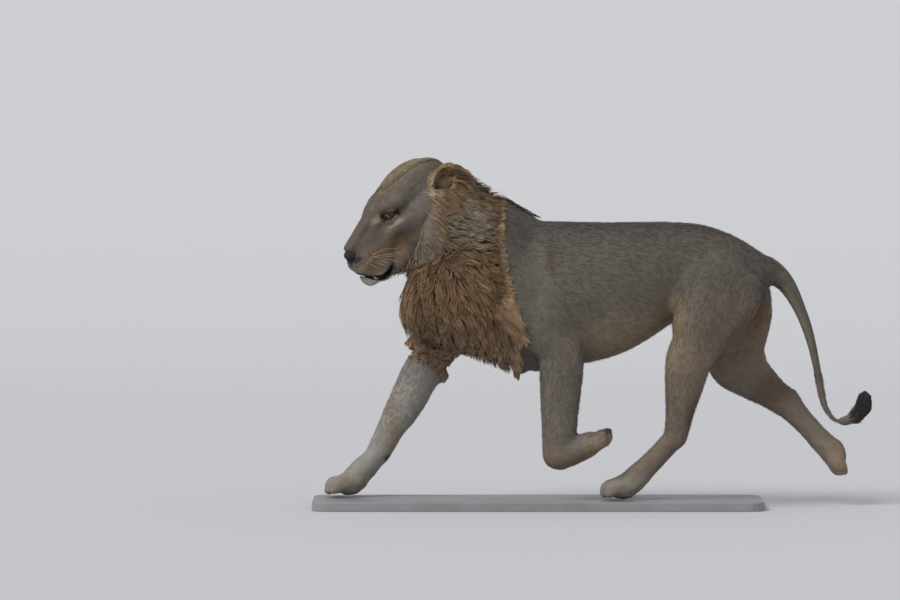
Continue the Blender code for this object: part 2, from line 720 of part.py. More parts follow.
# One skin round trunk, neck, limbs and tail, and a finer one round the head
barrel = fused("barrel", trunk_shapes() + mirrored(shoulder_shapes) + mirrored(thigh_shapes),
               BARREL_VOXEL, BARREL_SMOOTH, helpers)
limbs = tail_shapes() + mirrored(fore_leg) + mirrored(hind_leg) + mane_shapes() + on_head(head_shapes())
body = thinned(fused("trunk", [taken(barrel)] + limbs, BODY_VOXEL, BODY_SMOOTH, lion), BODY_TRIANGLES)
head = thinned(fused("head", on_head(head_shapes()) + mane_shapes(), HEAD_VOXEL, HEAD_SMOOTH, lion), HEAD_TRIANGLES)
face_cut = slab_cut(FACE_OUTLINE, -0.35, 0.35)
kept(head, face_cut(0.0))
carved(body, face_cut(GAP))
carved(body, block((-2, -2, -1), (2, 2, BASE_THICK + GAP / 2)))

# Mouth, eyes, nose, ears and the lower canines
carved(head, mouth_shape(0.0))
painted(head, "face")
painted(object_from_bmesh("nose", nose_shape(0.0), lion), "nose")
carved(head, nose_shape(GAP))
for side, name in names.items():
    own = (("eye", eye_shape, "eye"), ("ear", ear_shape, "coat"), ("canine", tooth_shape, "tooth"))
    for part, shape, finish in own:
        painted(object_from_bmesh(f"{part}_{name}", shape(side, 0.0), lion), finish)
        carved(head, shape(side, GAP))
        if part == "ear":
            carved(body, shape(side, GAP))

# Neck, limbs and tail parted from the trunk
painted(body, "coat")
tail = part_off(body, "tail", box_cut((0.600, -0.20, 0.24), (1.20, 0.052, 1.0)), "coat")
part_off(tail, "tail_tuft", box_cut((0.846, -0.20, 0.20), (1.20, 0.20, 0.60)), "tuft")
for side, name in names.items():
    leg = HIND[side]
    cut = slab_cut(HIND_OUTLINE, side * 0.006, side * 0.40)
    limb = part_off(body, f"leg_hind_{name}", cut, "coat")
    part_off(limb, f"paw_hind_{name}", limb_cut(leg["hock"], leg["knuckles"], 0.72, 0.10), "paw")
    leg = FORE[side]
    if side == LEFT:
        cut = box_cut((-0.215, -0.30, 0), (0.12, -0.040, 0.460))
    else:
        cut = limb_cut(leg["elbow"], leg["wrist"], 0.10, 0.13)
    limb = part_off(body, f"leg_fore_{name}", cut, "coat")
    part_off(limb, f"paw_fore_{name}", limb_cut(leg["wrist"], leg["knuckles"], 0.45, 0.075), "paw")
part_off(body, "neck", box_cut((-0.90, -0.40, 0.30), (-0.255, 0.40, 1.30)), "mane")

painted(object_from_bmesh("stand_base", outward(plate_shape()), lion), "stand")

# The middle of the whole over the origin
pieces = list(lion.objects)
reach = [(piece.matrix_world @ Vector(corner)).x for piece in pieces for corner in piece.bound_box]
for piece in pieces:
    piece.data.transform(Matrix.Translation((-(min(reach) + max(reach)) / 2, 0, 0)))
bpy.data.collections.remove(helpers)
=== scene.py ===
import math
import bmesh
import bpy
import numpy as np
import openvdb
from mathutils import Matrix, Vector, kdtree


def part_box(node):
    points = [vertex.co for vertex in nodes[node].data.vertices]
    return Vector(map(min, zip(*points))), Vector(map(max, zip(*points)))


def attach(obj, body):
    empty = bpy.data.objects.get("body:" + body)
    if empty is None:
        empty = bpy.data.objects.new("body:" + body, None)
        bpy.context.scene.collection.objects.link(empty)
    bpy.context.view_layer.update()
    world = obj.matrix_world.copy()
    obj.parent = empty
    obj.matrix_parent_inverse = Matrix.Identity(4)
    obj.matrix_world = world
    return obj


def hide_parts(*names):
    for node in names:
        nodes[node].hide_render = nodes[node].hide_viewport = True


bpy.ops.wm.read_factory_settings(use_empty=True)
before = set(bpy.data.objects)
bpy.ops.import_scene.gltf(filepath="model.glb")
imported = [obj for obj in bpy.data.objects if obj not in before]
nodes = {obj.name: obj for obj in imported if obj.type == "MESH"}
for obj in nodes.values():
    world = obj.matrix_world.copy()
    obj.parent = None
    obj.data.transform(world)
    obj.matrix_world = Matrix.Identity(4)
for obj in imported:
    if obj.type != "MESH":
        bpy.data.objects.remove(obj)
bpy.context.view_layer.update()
scene = bpy.context.scene

# ---- Room: a plain pale floor that curves up far behind the model, soft daylight from a wide lamp on the
# camera's side and above, a weaker one behind, and a long lens at standing height, square to the lion's left side.
CAMERA_AT = (-0.4748, -22.0, 1.36)
CAMERA_DROP = math.atan(1 / 33)  # the lens looks down by a metre in 33
FLOOR_FLAT, FLOOR_BEND, FLOOR_TOP = 9.0, 7.0, 30.0


def placed(name, data):
    item = bpy.data.objects.new(name, data)
    scene.collection.objects.link(item)
    return item


def mesh_from(name, points, faces):
    """A smooth mesh from places and the corners of each face."""
    data = bpy.data.meshes.new(name)
    data.from_pydata(points, [], faces, shade_flat=False)
    return data


class Value:
    """A socket that Python's own operators work on, each adding a Math node."""

    def __init__(self, graph, socket):
        self.graph, self.socket = graph, socket

    def _with(self, operation, other):
        return self.graph.add("ShaderNodeMath", {"operation": operation}, self, other)

    def __add__(self, other):
        return self._with("ADD", other)

    def __mul__(self, other):
        return self._with("MULTIPLY", other)

    def __truediv__(self, other):
        return self._with("DIVIDE", other)

    def step(self, low, high):
        """0 below low, 1 above high, smooth between."""
        return self.graph.add("ShaderNodeMapRange", {"interpolation_type": "SMOOTHSTEP"}, self, low, high, 0.0, 1.0)


class Graph:
    """A tree of nodes. What feeds a node is given in the order of its sockets, or by their names."""

    def __init__(self, tree):
        self.tree = tree

    def join(self, value, socket):
        if isinstance(value, Value):
            self.tree.links.new(value.socket, socket)
        else:
            socket.default_value = (*value, 1.0) if socket.type == "RGBA" else value

    def add(self, kind, settings, *values, out=0, **named):
        node = self.tree.nodes.new(kind)
        for key, value in settings.items():
            setattr(node, key, value)
        sockets = [s for s in node.inputs if s.enabled]
        for socket, value in zip(sockets, values):
            self.join(value, socket)
        for name, value in named.items():
            self.join(value, next(s for s in sockets if s.name.replace(" ", "_") == name))
        return Value(self, [s for s in node.outputs if s.enabled][out])


class Finish(Graph):
    """One material: a Principled shader and the nodes that feed it."""

    def __init__(self, name, **fixed):
        self.material = bpy.data.materials.new(name)
        self.material.use_nodes = True
        super().__init__(self.material.node_tree)
        self.shader = self.tree.nodes["Principled BSDF"]
        for socket, value in fixed.items():
            self.feed(socket, value)

    def object_place(self):
        return self.add("ShaderNodeTexCoord", {}, out=3)

    def attribute(self, name, out=0):
        return self.add("ShaderNodeAttribute", {"attribute_name": name}, out=out)

    def noise(self, place, scale, detail=3.0, rough=0.55):
        return self.add("ShaderNodeTexNoise", {"noise_dimensions": "3D"}, place, scale, detail, rough)

    def mix(self, share, first, second, blend="MIX"):
        return self.add("ShaderNodeMix", {"data_type": "RGBA", "blend_type": blend}, share, first, second)

    def feed(self, socket, value):
        self.join(value, self.shader.inputs[socket.replace("_", " ")])

    def bump(self, height, strength, distance):
        self.feed("Normal", self.add("ShaderNodeBump", {}, strength, distance, Height=height))

    def wear(self, item):
        item.data.materials.clear()
        item.data.materials.append(self.material)


def paint(red, green, blue):
    """A colour as the eye counts it, 0 to 255, as linear light."""
    return tuple((c / 255 / 12.92) if c <= 10 else ((c / 255 + 0.055) / 1.055) ** 2.4 for c in (red, green, blue))


def lamp(name, aim, power, angle, colour):
    data = bpy.data.lights.new(name, "SUN")
    data.energy, data.color, data.angle = power, colour, math.radians(angle)
    placed(name, data).rotation_euler = Vector(aim).to_track_quat("-Z", "Y").to_euler()


rows = [(-FLOOR_TOP, 0.0), (FLOOR_FLAT, 0.0)]
rows += [(FLOOR_FLAT + FLOOR_BEND * math.sin(a), FLOOR_BEND - FLOOR_BEND * math.cos(a))
         for a in np.linspace(0.1, math.pi / 2, 12)]
rows += [(FLOOR_FLAT + FLOOR_BEND, FLOOR_TOP)]
floor = placed("floor", mesh_from("floor", [(x, y, z) for y, z in rows for x in (-40.0, 40.0)],
                                  [(2 * k, 2 * k + 1, 2 * k + 3, 2 * k + 2) for k in range(len(rows) - 1)]))
Finish("pale_floor", Roughness=0.85, Base_Color=paint(196, 197, 200)).wear(floor)
lamp("key", (0.55, 0.62, -0.80), 1.9, 28, (1.0, 0.975, 0.94))
lamp("back", (-0.35, -0.80, -0.60), 0.8, 30, (1.0, 0.98, 0.96))
world = bpy.data.worlds.new("room")
scene.world = world
world.use_nodes = True
world.node_tree.nodes["Background"].inputs["Color"].default_value = (0.93, 0.95, 1.0, 1)
world.node_tree.nodes["Background"].inputs["Strength"].default_value = 0.62
camera = placed("camera", bpy.data.cameras.new("camera"))
camera.data.sensor_width, camera.data.lens, camera.data.clip_end = 36, 264, 200
camera.location = CAMERA_AT
camera.rotation_euler = (math.pi / 2 - CAMERA_DROP, 0, 0)
scene.camera = camera
scene.view_settings.view_transform = "Standard"

# ---- Form under the coat: the body's own shape, as distances from its surface on a grid. The solids' parting
# cuts are closed, their facets smoothed, and each place is taken in by the depth of the coat that lies on it.
GRAIN = 0.004  # the grid's spacing
REACH = 13  # how many grains from the surface the distances are known
FLESH = [name for name in nodes if name.split("_")[0] in ("head", "neck", "trunk", "tail", "leg", "paw")]


def surface_of(names):
    points, triangles, count = [], [], 0
    for name in names:
        data = nodes[name].data
        data.calc_loop_triangles()
        place = np.empty(len(data.vertices) * 3, np.float32)
        data.vertices.foreach_get("co", place)
        corner = np.empty(len(data.loop_triangles) * 3, np.int32)
        data.loop_triangles.foreach_get("vertices", corner)
        points.append(place.reshape(-1, 3))
        triangles.append((corner.reshape(-1, 3) + count).astype(np.uint32))
        count += len(data.vertices)
    return np.concatenate(points), np.concatenate(triangles)


def softened(values, sigma):
    reach = int(math.ceil(2.5 * sigma))
    weights = np.exp(-0.5 * (np.arange(-reach, reach + 1) / sigma) ** 2)
    weights = (weights / weights.sum()).astype(np.float32)
    for axis in range(3):
        wide = np.pad(values, [(reach, reach) if k == axis else (0, 0) for k in range(3)], mode="edge")
        values = sum(w * np.take(wide, range(k, k + values.shape[axis]), axis) for k, w in enumerate(weights))
    return values


def step(values, low, high):
    share = np.clip((values - low) / (high - low), 0, 1)
    return share * share * (3 - 2 * share)


def unit(vectors):
    return vectors / np.maximum(np.linalg.norm(vectors, axis=1, keepdims=True), 1e-9)


class Form:
    """Distances from a closed surface, below 0 inside, on a grid of cubes. The grid may be turned."""

    def __init__(self, low, grain, values, place=None):
        self.low, self.grain, self.values = np.array(low, np.float32), grain, values
        self.inverse = None if place is None else np.array(place.inverted(), np.float32)

    def places(self):
        counts = (np.arange(n, dtype=np.float32) for n in self.values.shape)
        counts = np.meshgrid(*counts, indexing="ij", sparse=True)
        return [low + self.grain * count for low, count in zip(self.low, counts)]

    def at(self, points):
        if self.inverse is not None:
            points = points @ self.inverse[:3, :3].T + self.inverse[:3, 3]
        spot = (points - self.low) / self.grain
        corner = np.clip(spot.astype(np.int32), 0, np.array(self.values.shape) - 2)
        part = np.clip(spot - corner, 0, 1).astype(np.float32)
        total = 0
        for dx, dy, dz in np.ndindex(2, 2, 2):
            weight = abs(1 - dx - part[:, 0]) * abs(1 - dy - part[:, 1]) * abs(1 - dz - part[:, 2])
            total = total + weight * self.values[corner[:, 0] + dx, corner[:, 1] + dy, corner[:, 2] + dz]
        return total

    def outward(self, points):
        reach = self.grain
        return unit(np.stack([self.at(points + reach * axis) - self.at(points - reach * axis)
                              for axis in np.eye(3, dtype=np.float32)], 1))

    def meshed(self, adaptivity=0.0):
        """The surface, with fewer triangles where it is flatter the higher the adaptivity is."""
        grid = openvdb.FloatGrid(1.0)
        grid.transform = openvdb.createLinearTransform(voxelSize=self.grain)
        grid.copyFromArray(self.values, ijk=(0, 0, 0))
        points, triangles, quads = grid.convertToPolygons(isovalue=0.0, adaptivity=adaptivity)
        faces = np.concatenate([triangles, quads[:, [0, 1, 2]], quads[:, [0, 2, 3]]]).astype(np.int32)
        corners = points[faces]
        inside_out = np.einsum("ij,ij->", corners[:, 0], np.cross(corners[:, 1], corners[:, 2])) < 0
        return points + self.low, faces[:, ::-1] if inside_out else faces


def closed_form(names, swell=0.0015):
    """The form of several solids as one, with the cuts between them closed by swelling over them and back."""
    cubes = openvdb.createLinearTransform(voxelSize=GRAIN)
    points, triangles = surface_of(names)
    grid = openvdb.FloatGrid.createLevelSetFromPolygons(points, triangles=triangles, transform=cubes, halfWidth=4)
    points, quads = grid.convertToQuads(isovalue=swell)
    grid = openvdb.FloatGrid.createLevelSetFromPolygons(points, quads=quads, transform=cubes, halfWidth=REACH)
    low, high = (np.array(corner) for corner in grid.evalActiveVoxelBoundingBox())
    low, high = low - 2, high + 2
    values = np.empty(tuple(int(n) for n in high - low + 1), np.float32)
    grid.copyToArray(values, ijk=tuple(int(n) for n in low))
    return Form(low * GRAIN, GRAIN, values + swell)


# ---- Skin of the body: neck, trunk, tail and legs in one surface. Under the mane it is the real neck, well
# inside the hair; elsewhere the short coat lies close on it.
SHIFT = float(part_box("stand_base")[0][0]) + 0.945  # from the measures below to the model's own place
MANE_REAR = ((0.40, -0.195), (0.45, -0.203), (0.53, -0.220), (0.61, -0.247), (0.69, -0.283), (0.79, -0.303),
             (0.90, -0.320), (1.20, -0.310))  # heights, and where the mane ends there
FACE_LINE = ((-0.4575, 1.300), (-0.656, 0.732))  # crown and throat, between which the short coat of the face ends
CHEEK = ((0.79, 0.82, 0.86, 0.92, 0.98, 1.01, 1.06), (0, 0.070, 0.100, 0.090, 0.052, 0.034, 0))  # its bulge there


def rear_edge(height):
    """Where the mane ends on the shoulder, at a height."""
    return np.interp(height, *zip(*MANE_REAR)).astype(np.float32) + SHIFT


def behind_face(x, z, cheek=1.0):
    """How far a place is behind the line from the crown round the cheek to the throat, where the short coat ends."""
    (x0, z0), (x1, z1) = FACE_LINE
    length = math.hypot(x1 - x0, z1 - z0)
    return ((x - SHIFT - x0) * (z0 - z1) + (z - z0) * (x1 - x0)) / length - cheek * np.interp(z, *CHEEK)


def part_of(form, whole):
    """One form's distances laid on the grid of another, far ones as its reach."""
    values = np.full(whole.values.shape, REACH * form.grain, np.float32)
    start = np.round((form.low - whole.low) / whole.grain).astype(int)
    first, source = np.maximum(start, 0), np.maximum(-start, 0)
    count = np.minimum(np.array(form.values.shape) - source, np.array(values.shape) - first)
    values[tuple(slice(f, f + n) for f, n in zip(first, count))] = \
        form.values[tuple(slice(s, s + n) for s, n in zip(source, count))]
    return values


def from_rod(places, start, end, first, last):
    """How far places are from a rod that tapers from its first radius to its last."""
    (x, y, z), along = (axis - at for axis, at in zip(places, start)), end - start
    share = np.clip((x * along[0] + y * along[1] + z * along[2]) / (along @ along), 0, 1)
    far = np.sqrt((x - share * along[0]) ** 2 + (y - share * along[1]) ** 2 + (z - share * along[2]) ** 2)
    return (far - first - share * (last - first)).astype(np.float32)


def merged(held, added, blend):
    """Two surfaces run into each other, from their distances."""
    near = np.maximum(blend - np.abs(held - added), 0) / blend
    return np.minimum(held, added) - near * near * blend * 0.25


def limb(form, start, end, first, last):
    """Runs a tapered rod into the form, for a limb that the hair hides."""
    start, end = np.array(start) + (SHIFT, 0, 0), np.array(end) + (SHIFT, 0, 0)
    low = np.floor((np.minimum(start, end) - 0.10 - form.low) / form.grain).astype(int)
    high = np.ceil((np.maximum(start, end) + 0.10 - form.low) / form.grain).astype(int)
    cut = tuple(slice(max(a, 0), b) for a, b in zip(low, high))
    x, y, z = form.places()
    places = x[cut[0]], y[:, cut[1]], z[:, :, cut[2]]
    form.values[cut] = merged(form.values[cut], from_rod(places, start, end, first, last), 0.02)


sharp = closed_form(FLESH)
at_paw = 1 - step(part_of(closed_form([n for n in FLESH if n.startswith("paw")]), sharp), 0.0, 0.030)
outline = Form(sharp.low, GRAIN, at_paw * softened(sharp.values, 0.7) + (1 - at_paw) * softened(sharp.values, 1.6))
limbs = Form(sharp.low, GRAIN, part_of(closed_form([n for n in FLESH if n != "neck"]), sharp))
X, _, Z = outline.places()
in_mane = step(limbs.values, 0.002, 0.040) * step(rear_edge(Z) - X, -0.010, 0.045)
in_mane = in_mane * step(behind_face(X, Z), -0.01, 0.035)
in_tuft = step(X, 0.845 + SHIFT, 0.885 + SHIFT) * (Z < 0.46) * (Z > 0.25)
in_face = step(-behind_face(X, Z, 0), -0.010, 0.060) * step(Z, 0.70, 0.74) * (X < -0.4)
coat_depth = 0.0038 - 0.0018 * at_paw + 0.031 * in_mane + 0.010 * in_tuft + 0.075 * in_face
body_form = Form(outline.low, GRAIN, outline.values + coat_depth.astype(np.float32))
for rod in (((-0.380, 0.105, 0.680), (-0.545, 0.112, 0.510), 0.064, 0.055),  # right upper foreleg
            ((-0.490, 0.050, 0.640), (-0.575, 0.090, 0.550), 0.055, 0.042),  # chest
            ((-0.285, -0.105, 0.665), (-0.125, -0.120, 0.530), 0.060, 0.052),  # left upper foreleg
            ((0.8305, 0.017, 0.289), (0.868, 0.018, 0.303), 0.009, 0.009),  # the last joints in the tuft
            ((0.868, 0.018, 0.303), (0.892, 0.018, 0.333), 0.012, 0.012),
            ((0.892, 0.018, 0.333), (0.896, 0.018, 0.366), 0.012, 0.012)):
    limb(body_form, *rod)
body_points, body_faces = body_form.meshed(0.0185)

# ---- Skin of the head, in the skull's own frame: forward, sideways and out through the crown, nose level.
# Bone and muscle are masses run into each other, then the mouth, the lids and the ears' cups are cut.
HEAD_PLACE = (Matrix.Translation((-0.604 + SHIFT, -0.046, 1.050)) @ Matrix.Rotation(math.radians(18), 4, "Z")
              @ Matrix.Rotation(math.radians(-40), 4, "Y") @ Matrix.Diagonal((-1, 1, 1, 1)))
HEAD_TURN, HEAD_MIDDLE = np.array(HEAD_PLACE.to_3x3()), np.array(HEAD_PLACE.translation)
HEAD_GRAIN = 0.002
HEAD_LOW, HEAD_HIGH = (-0.150, -0.180, -0.200), (0.345, 0.180, 0.150)
EYE_AT, EYE_RADIUS = np.array((0.1255, 0.0590, 0.0165)), 0.0195


def head_block(low, high, grain):
    """An empty form in the skull's frame."""
    shape = [int(round((h - l) / grain)) + 1 for l, h in zip(low, high)]
    return Form(low, grain, np.full(shape, 0.05, np.float32), HEAD_PLACE)


def head_meshed(form, adaptivity=0.0):
    points, faces = form.meshed(adaptivity)
    return points @ HEAD_TURN.astype(np.float32).T + HEAD_MIDDLE.astype(np.float32), faces[:, ::-1]


class Clay:
    """The masses of the head on its grid. Each is on both sides, because sideways counts without its sign."""

    def __init__(self, form):
        self.form = form
        self.A, self.S, self.O = form.places()
        self.S = np.abs(self.S)

    def near(self, centre, reach):
        """The part of the grid about a place."""
        cuts = []
        for k in range(3):
            low = ((-centre[k] if k == 1 else centre[k]) - reach[k] - self.form.low[k]) / self.form.grain
            high = (centre[k] + reach[k] - self.form.low[k]) / self.form.grain + 1
            cuts.append(slice(max(int(low), 0), max(int(high) + 1, 1)))
        return tuple(cuts)

    def local(self, cut):
        return self.A[cut[0]], self.S[:, cut[1]], self.O[:, :, cut[2]]

    def run_in(self, cut, distance, blend, take=False):
        """Adds a mass, or takes it away."""
        sign = -1 if take else 1
        self.form.values[cut] = sign * merged(sign * self.form.values[cut], distance.astype(np.float32), blend)

    def egg(self, centre, radii, turn=None, blend=0.02, take=False):
        """An egg, turned in its own frame by a matrix."""
        cut = self.near(centre, (max(radii) + 0.03,) * 3)
        a, s, o = (axis - at for axis, at in zip(self.local(cut), centre))
        if turn is not None:
            m = np.array(turn)
            a, s, o = (m[0, k] * a + m[1, k] * s + m[2, k] * o for k in range(3))
        k0 = np.sqrt((a / radii[0]) ** 2 + (s / radii[1]) ** 2 + (o / radii[2]) ** 2)
        k1 = np.sqrt((a / radii[0] ** 2) ** 2 + (s / radii[1] ** 2) ** 2 + (o / radii[2] ** 2) ** 2)
        self.run_in(cut, k0 * (k0 - 1) / np.maximum(k1, 1e-6), blend, take)

    def rod(self, stations, blend=0.02, take=False):
        """A round rod through stations of a place and a radius."""
        for (p, r0), (q, r1) in zip(stations, stations[1:]):
            p, q = np.array(p), np.array(q)
            cut = self.near((p + q) / 2, np.abs(q - p) / 2 + max(r0, r1) + 0.03)
            self.run_in(cut, from_rod(self.local(cut), p, q, r0, r1), blend, take)

    def bar(self, start, end, width, height, round_, blend=0.02):
        """A beam along the middle with rounded corners, from one place to another of forward and out."""
        (a0, o0), (a1, o1) = start, end
        length = math.hypot(a1 - a0, o1 - o0)
        ux, uz = (a1 - a0) / length, (o1 - o0) / length
        centre = ((a0 + a1) / 2, 0, (o0 + o1) / 2)
        cut = self.near(centre, (abs(a1 - a0) / 2 + height + 0.04, width + 0.03, abs(o1 - o0) / 2 + height + 0.04))
        a, s, o = (axis - at for axis, at in zip(self.local(cut), centre))
        t, n = np.abs(a * ux + o * uz) - length / 2 + round_, np.abs(-a * uz + o * ux) - height + round_
        w = s - width + round_
        outside = np.sqrt(np.maximum(t, 0) ** 2 + np.maximum(n, 0) ** 2 + np.maximum(w, 0) ** 2)
        self.run_in(cut, outside + np.minimum(np.maximum(np.maximum(t, n), w), 0) - round_, blend)


head_form = head_block(HEAD_LOW, HEAD_HIGH, HEAD_GRAIN)
clay = Clay(head_form)
clay.egg((-0.010, 0, 0.000), (0.128, 0.086, 0.091))
clay.egg((0.085, 0, 0.030), (0.085, 0.068, 0.061), blend=0.03)
clay.egg((0.000, 0.050, 0.035), (0.110, 0.042, 0.058))  # temples
clay.bar((0.110, 0.054), (0.300, -0.008), 0.038, 0.024, 0.014, blend=0.03)  # bridge of the nose
clay.bar((0.185, -0.042), (0.290, -0.032), 0.054, 0.040, 0.026)
clay.egg((0.196, 0.030, -0.034), (0.072, 0.034, 0.050))
clay.rod((((0.160, 0.054, -0.034), 0.016), ((0.108, 0.084, -0.038), 0.021), ((0.040, 0.098, -0.040), 0.025),
          ((-0.040, 0.092, -0.038), 0.028)), blend=0.025)  # cheekbones
clay.rod((((0.156, 0.026, 0.047), 0.015), ((0.121, 0.061, 0.0475), 0.0155), ((0.076, 0.077, 0.034), 0.016)))  # brows
clay.egg((0.035, 0.064, -0.085), (0.100, 0.044, 0.078), blend=0.03)
clay.egg((-0.035, 0.074, -0.090), (0.085, 0.054, 0.100), blend=0.03)
clay.egg((-0.040, 0.096, -0.110), (0.085, 0.050, 0.085), blend=0.03)  # the full cheek's hair
clay.bar((0.020, -0.128), (0.285, -0.122), 0.044, 0.030, 0.024)
clay.egg((0.090, 0, -0.120), (0.130, 0.064, 0.060), blend=0.03)
clay.egg((0.268, 0.041, -0.046), (0.052, 0.034, 0.038), blend=0.012)  # whisker pads
clay.egg((0.301, 0.026, -0.052), (0.027, 0.027, 0.027), blend=0.012)
clay.egg((0.284, 0.039, -0.080), (0.034, 0.026, 0.030), blend=0.014)
clay.egg((0.257, 0.043, -0.096), (0.036, 0.022, 0.028), blend=0.014)
clay.egg((0.244, 0.038, -0.072), (0.054, 0.025, 0.034), Matrix.Rotation(math.radians(-32), 3, "Y"), blend=0.014)
clay.egg((0.296, 0, -0.109), (0.032, 0.041, 0.033), blend=0.016)  # chin

# the mouth: a wedge open at the front, with the tongue and gums left inside it, from the lower lip's edge,
# forward and out, and how far the lips are parted along it
LIP = ((0.222, -0.119), (0.248, -0.1265), (0.275, -0.126), (0.305, -0.103), (0.327, -0.075), (0.350, -0.044))
PARTED = ((0.222, 0.0), (0.240, 0.010), (0.275, 0.012), (0.296, 0.013), (0.310, 0.007), (0.330, 0.003),
          (0.350, 0.002))


def mouth_gap(a, s, o):
    """Below 0 between the lips."""
    edge = np.interp(a, *zip(*LIP))
    return np.maximum(np.maximum(o - edge, edge - np.interp(a, *zip(*PARTED)) - o) * 0.8, LIP[0][0] - a)


clay.rod((((0.228, 0.050, -0.134), 0.0050), ((0.262, 0.045, -0.142), 0.0050), ((0.296, 0.032, -0.122), 0.0055),
          ((0.318, 0.013, -0.096), 0.0050)), blend=0.008)  # lower lip
cut = clay.near((0.28, 0, -0.095), (0.07, 0.09, 0.06))
a, s, o = clay.local(cut)
tongue = np.sqrt(((a - 0.258) / 0.056) ** 2 + (s / 0.030) ** 2 + ((o + 0.112) / 0.034) ** 2) * 0.03 - 0.03
clay.run_in(cut, np.maximum(mouth_gap(a, s, o), -tongue), 0.004, take=True)
clay.rod((((0.334, 0, -0.026), 0.0040), ((0.334, 0, -0.060), 0.0045)), blend=0.006, take=True)  # groove of the lip
clay.rod((((0.312, 0.030, -0.020), 0.0040), ((0.294, 0.052, -0.033), 0.0036), ((0.272, 0.064, -0.044), 0.0020)),
         blend=0.005, take=True)  # the nostril's tail

# lids: a shell on each eyeball, open in an almond that tips down towards the nose, with a thick rim
GAZE = Matrix.Rotation(math.radians(36), 3, "Z") @ Matrix.Rotation(math.radians(-6), 3, "Y")
GAZE = np.array(GAZE @ Matrix.Rotation(math.radians(-14), 3, "X"))
EYE_FIELD = 0.034  # how far from the eye's middle the lids reach
LID_ENDS = 0.90  # how far the opening goes to each side, in eyeball radii
TEAR_LINE = (0.156, 0.045, 0.002), (0.192, 0.042, -0.028)


def eye_frame(a, s, o):
    """Forward, outward and up in the eye's own frame, and the distance from its middle."""
    d = (a - EYE_AT[0], s - EYE_AT[1], o - EYE_AT[2])
    f, t, u = (sum(GAZE[j, k] * d[j] for j in range(3)) for k in range(3))
    return f, t, u, np.sqrt(f * f + t * t + u * u)


def lid_gap(a, s, o):
    """Below 0 between the lids."""
    f, t, u, far = eye_frame(a, s, o)
    across, up = t / np.maximum(far, 1e-4), u / np.maximum(far, 1e-4)
    share = np.clip(1 - (across / LID_ENDS) ** 2, 0, 1)
    gap = np.maximum(up - 0.36 * share, -up - 0.34 * share) * EYE_RADIUS
    return np.maximum(np.maximum(gap, (np.abs(across) - LID_ENDS) * EYE_RADIUS), -f * 0.3)


clay.egg(EYE_AT - (0.002, 0.004, 0), (EYE_RADIUS + 0.0035,) * 3, blend=0.012)
clay.rod((((0.159, 0.048, 0.000), 0.0050), ((0.137, 0.065, -0.007), 0.0052), ((0.114, 0.074, -0.003), 0.0050)),
         blend=0.010)  # lower lid's pouch
cut = clay.near(EYE_AT, (0.045,) * 3)
a, s, o = clay.local(cut)
far = eye_frame(a, s, o)[3]
clay.run_in(cut, np.maximum(lid_gap(a, s, o), far - EYE_FIELD), 0.003, take=True)
clay.run_in(cut, far - EYE_RADIUS + 0.0005, 0.001, take=True)
clay.rod(((TEAR_LINE[0], 0.0034), ((0.170, 0.041, -0.010), 0.0030), (TEAR_LINE[1], 0.0018)), blend=0.006, take=True)

# ears: rounded cups leaning out and back, the wall thin, the opening turned out and forward
EAR_PLACE = (Matrix.Diagonal((-1, 1, 1, 1)) @ Matrix.Translation((0.0552, 0.096, -0.0283))
             @ Matrix.Rotation(math.radians(-26), 4, "X") @ Matrix.Rotation(math.radians(58), 4, "Y")
             @ Matrix.Translation((0, 0, 0.030)) @ Matrix.Rotation(math.radians(34), 4, "Z"))
for centre, radii, blend, take in (((0, 0, -0.002), (0.041, 0.0235, 0.057), 0.012, False),
                                   ((0, 0.001, 0.030), (0.026, 0.015, 0.030), 0.012, False),
                                   ((0.000, -0.004, -0.052), (0.036, 0.026, 0.026), 0.016, False),
                                   ((-0.003, 0.013, 0.004), (0.034, 0.024, 0.046), 0.004, True),
                                   ((-0.010, 0.010, -0.034), (0.014, 0.016, 0.014), 0.006, True)):
    clay.egg(np.array(EAR_PLACE @ Vector(centre)), radii, EAR_PLACE.to_3x3(), blend, take)
head_form.values = softened(head_form.values, 0.6)


class Joined(Form):
    """Two forms as one."""

    def __init__(self, first, second):
        self.first, self.second, self.grain = first, second, second.grain

    def at(self, points):
        return np.minimum(self.first.at(points), self.second.at(points))


whole_skin = Joined(body_form, head_form)
head_points, head_faces = head_meshed(head_form, 0.0142)
skin_points = np.concatenate([body_points, head_points])
skin_faces = np.concatenate([body_faces, head_faces + len(body_points)])
skin = placed("skin", mesh_from("skin", skin_points, skin_faces))
coat_finish = Finish("short_coat", Roughness=0.7, Base_Color=paint(150, 125, 98))
coat_finish.wear(skin)
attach(skin, "root")
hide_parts(*FLESH, "ear_left", "ear_right")

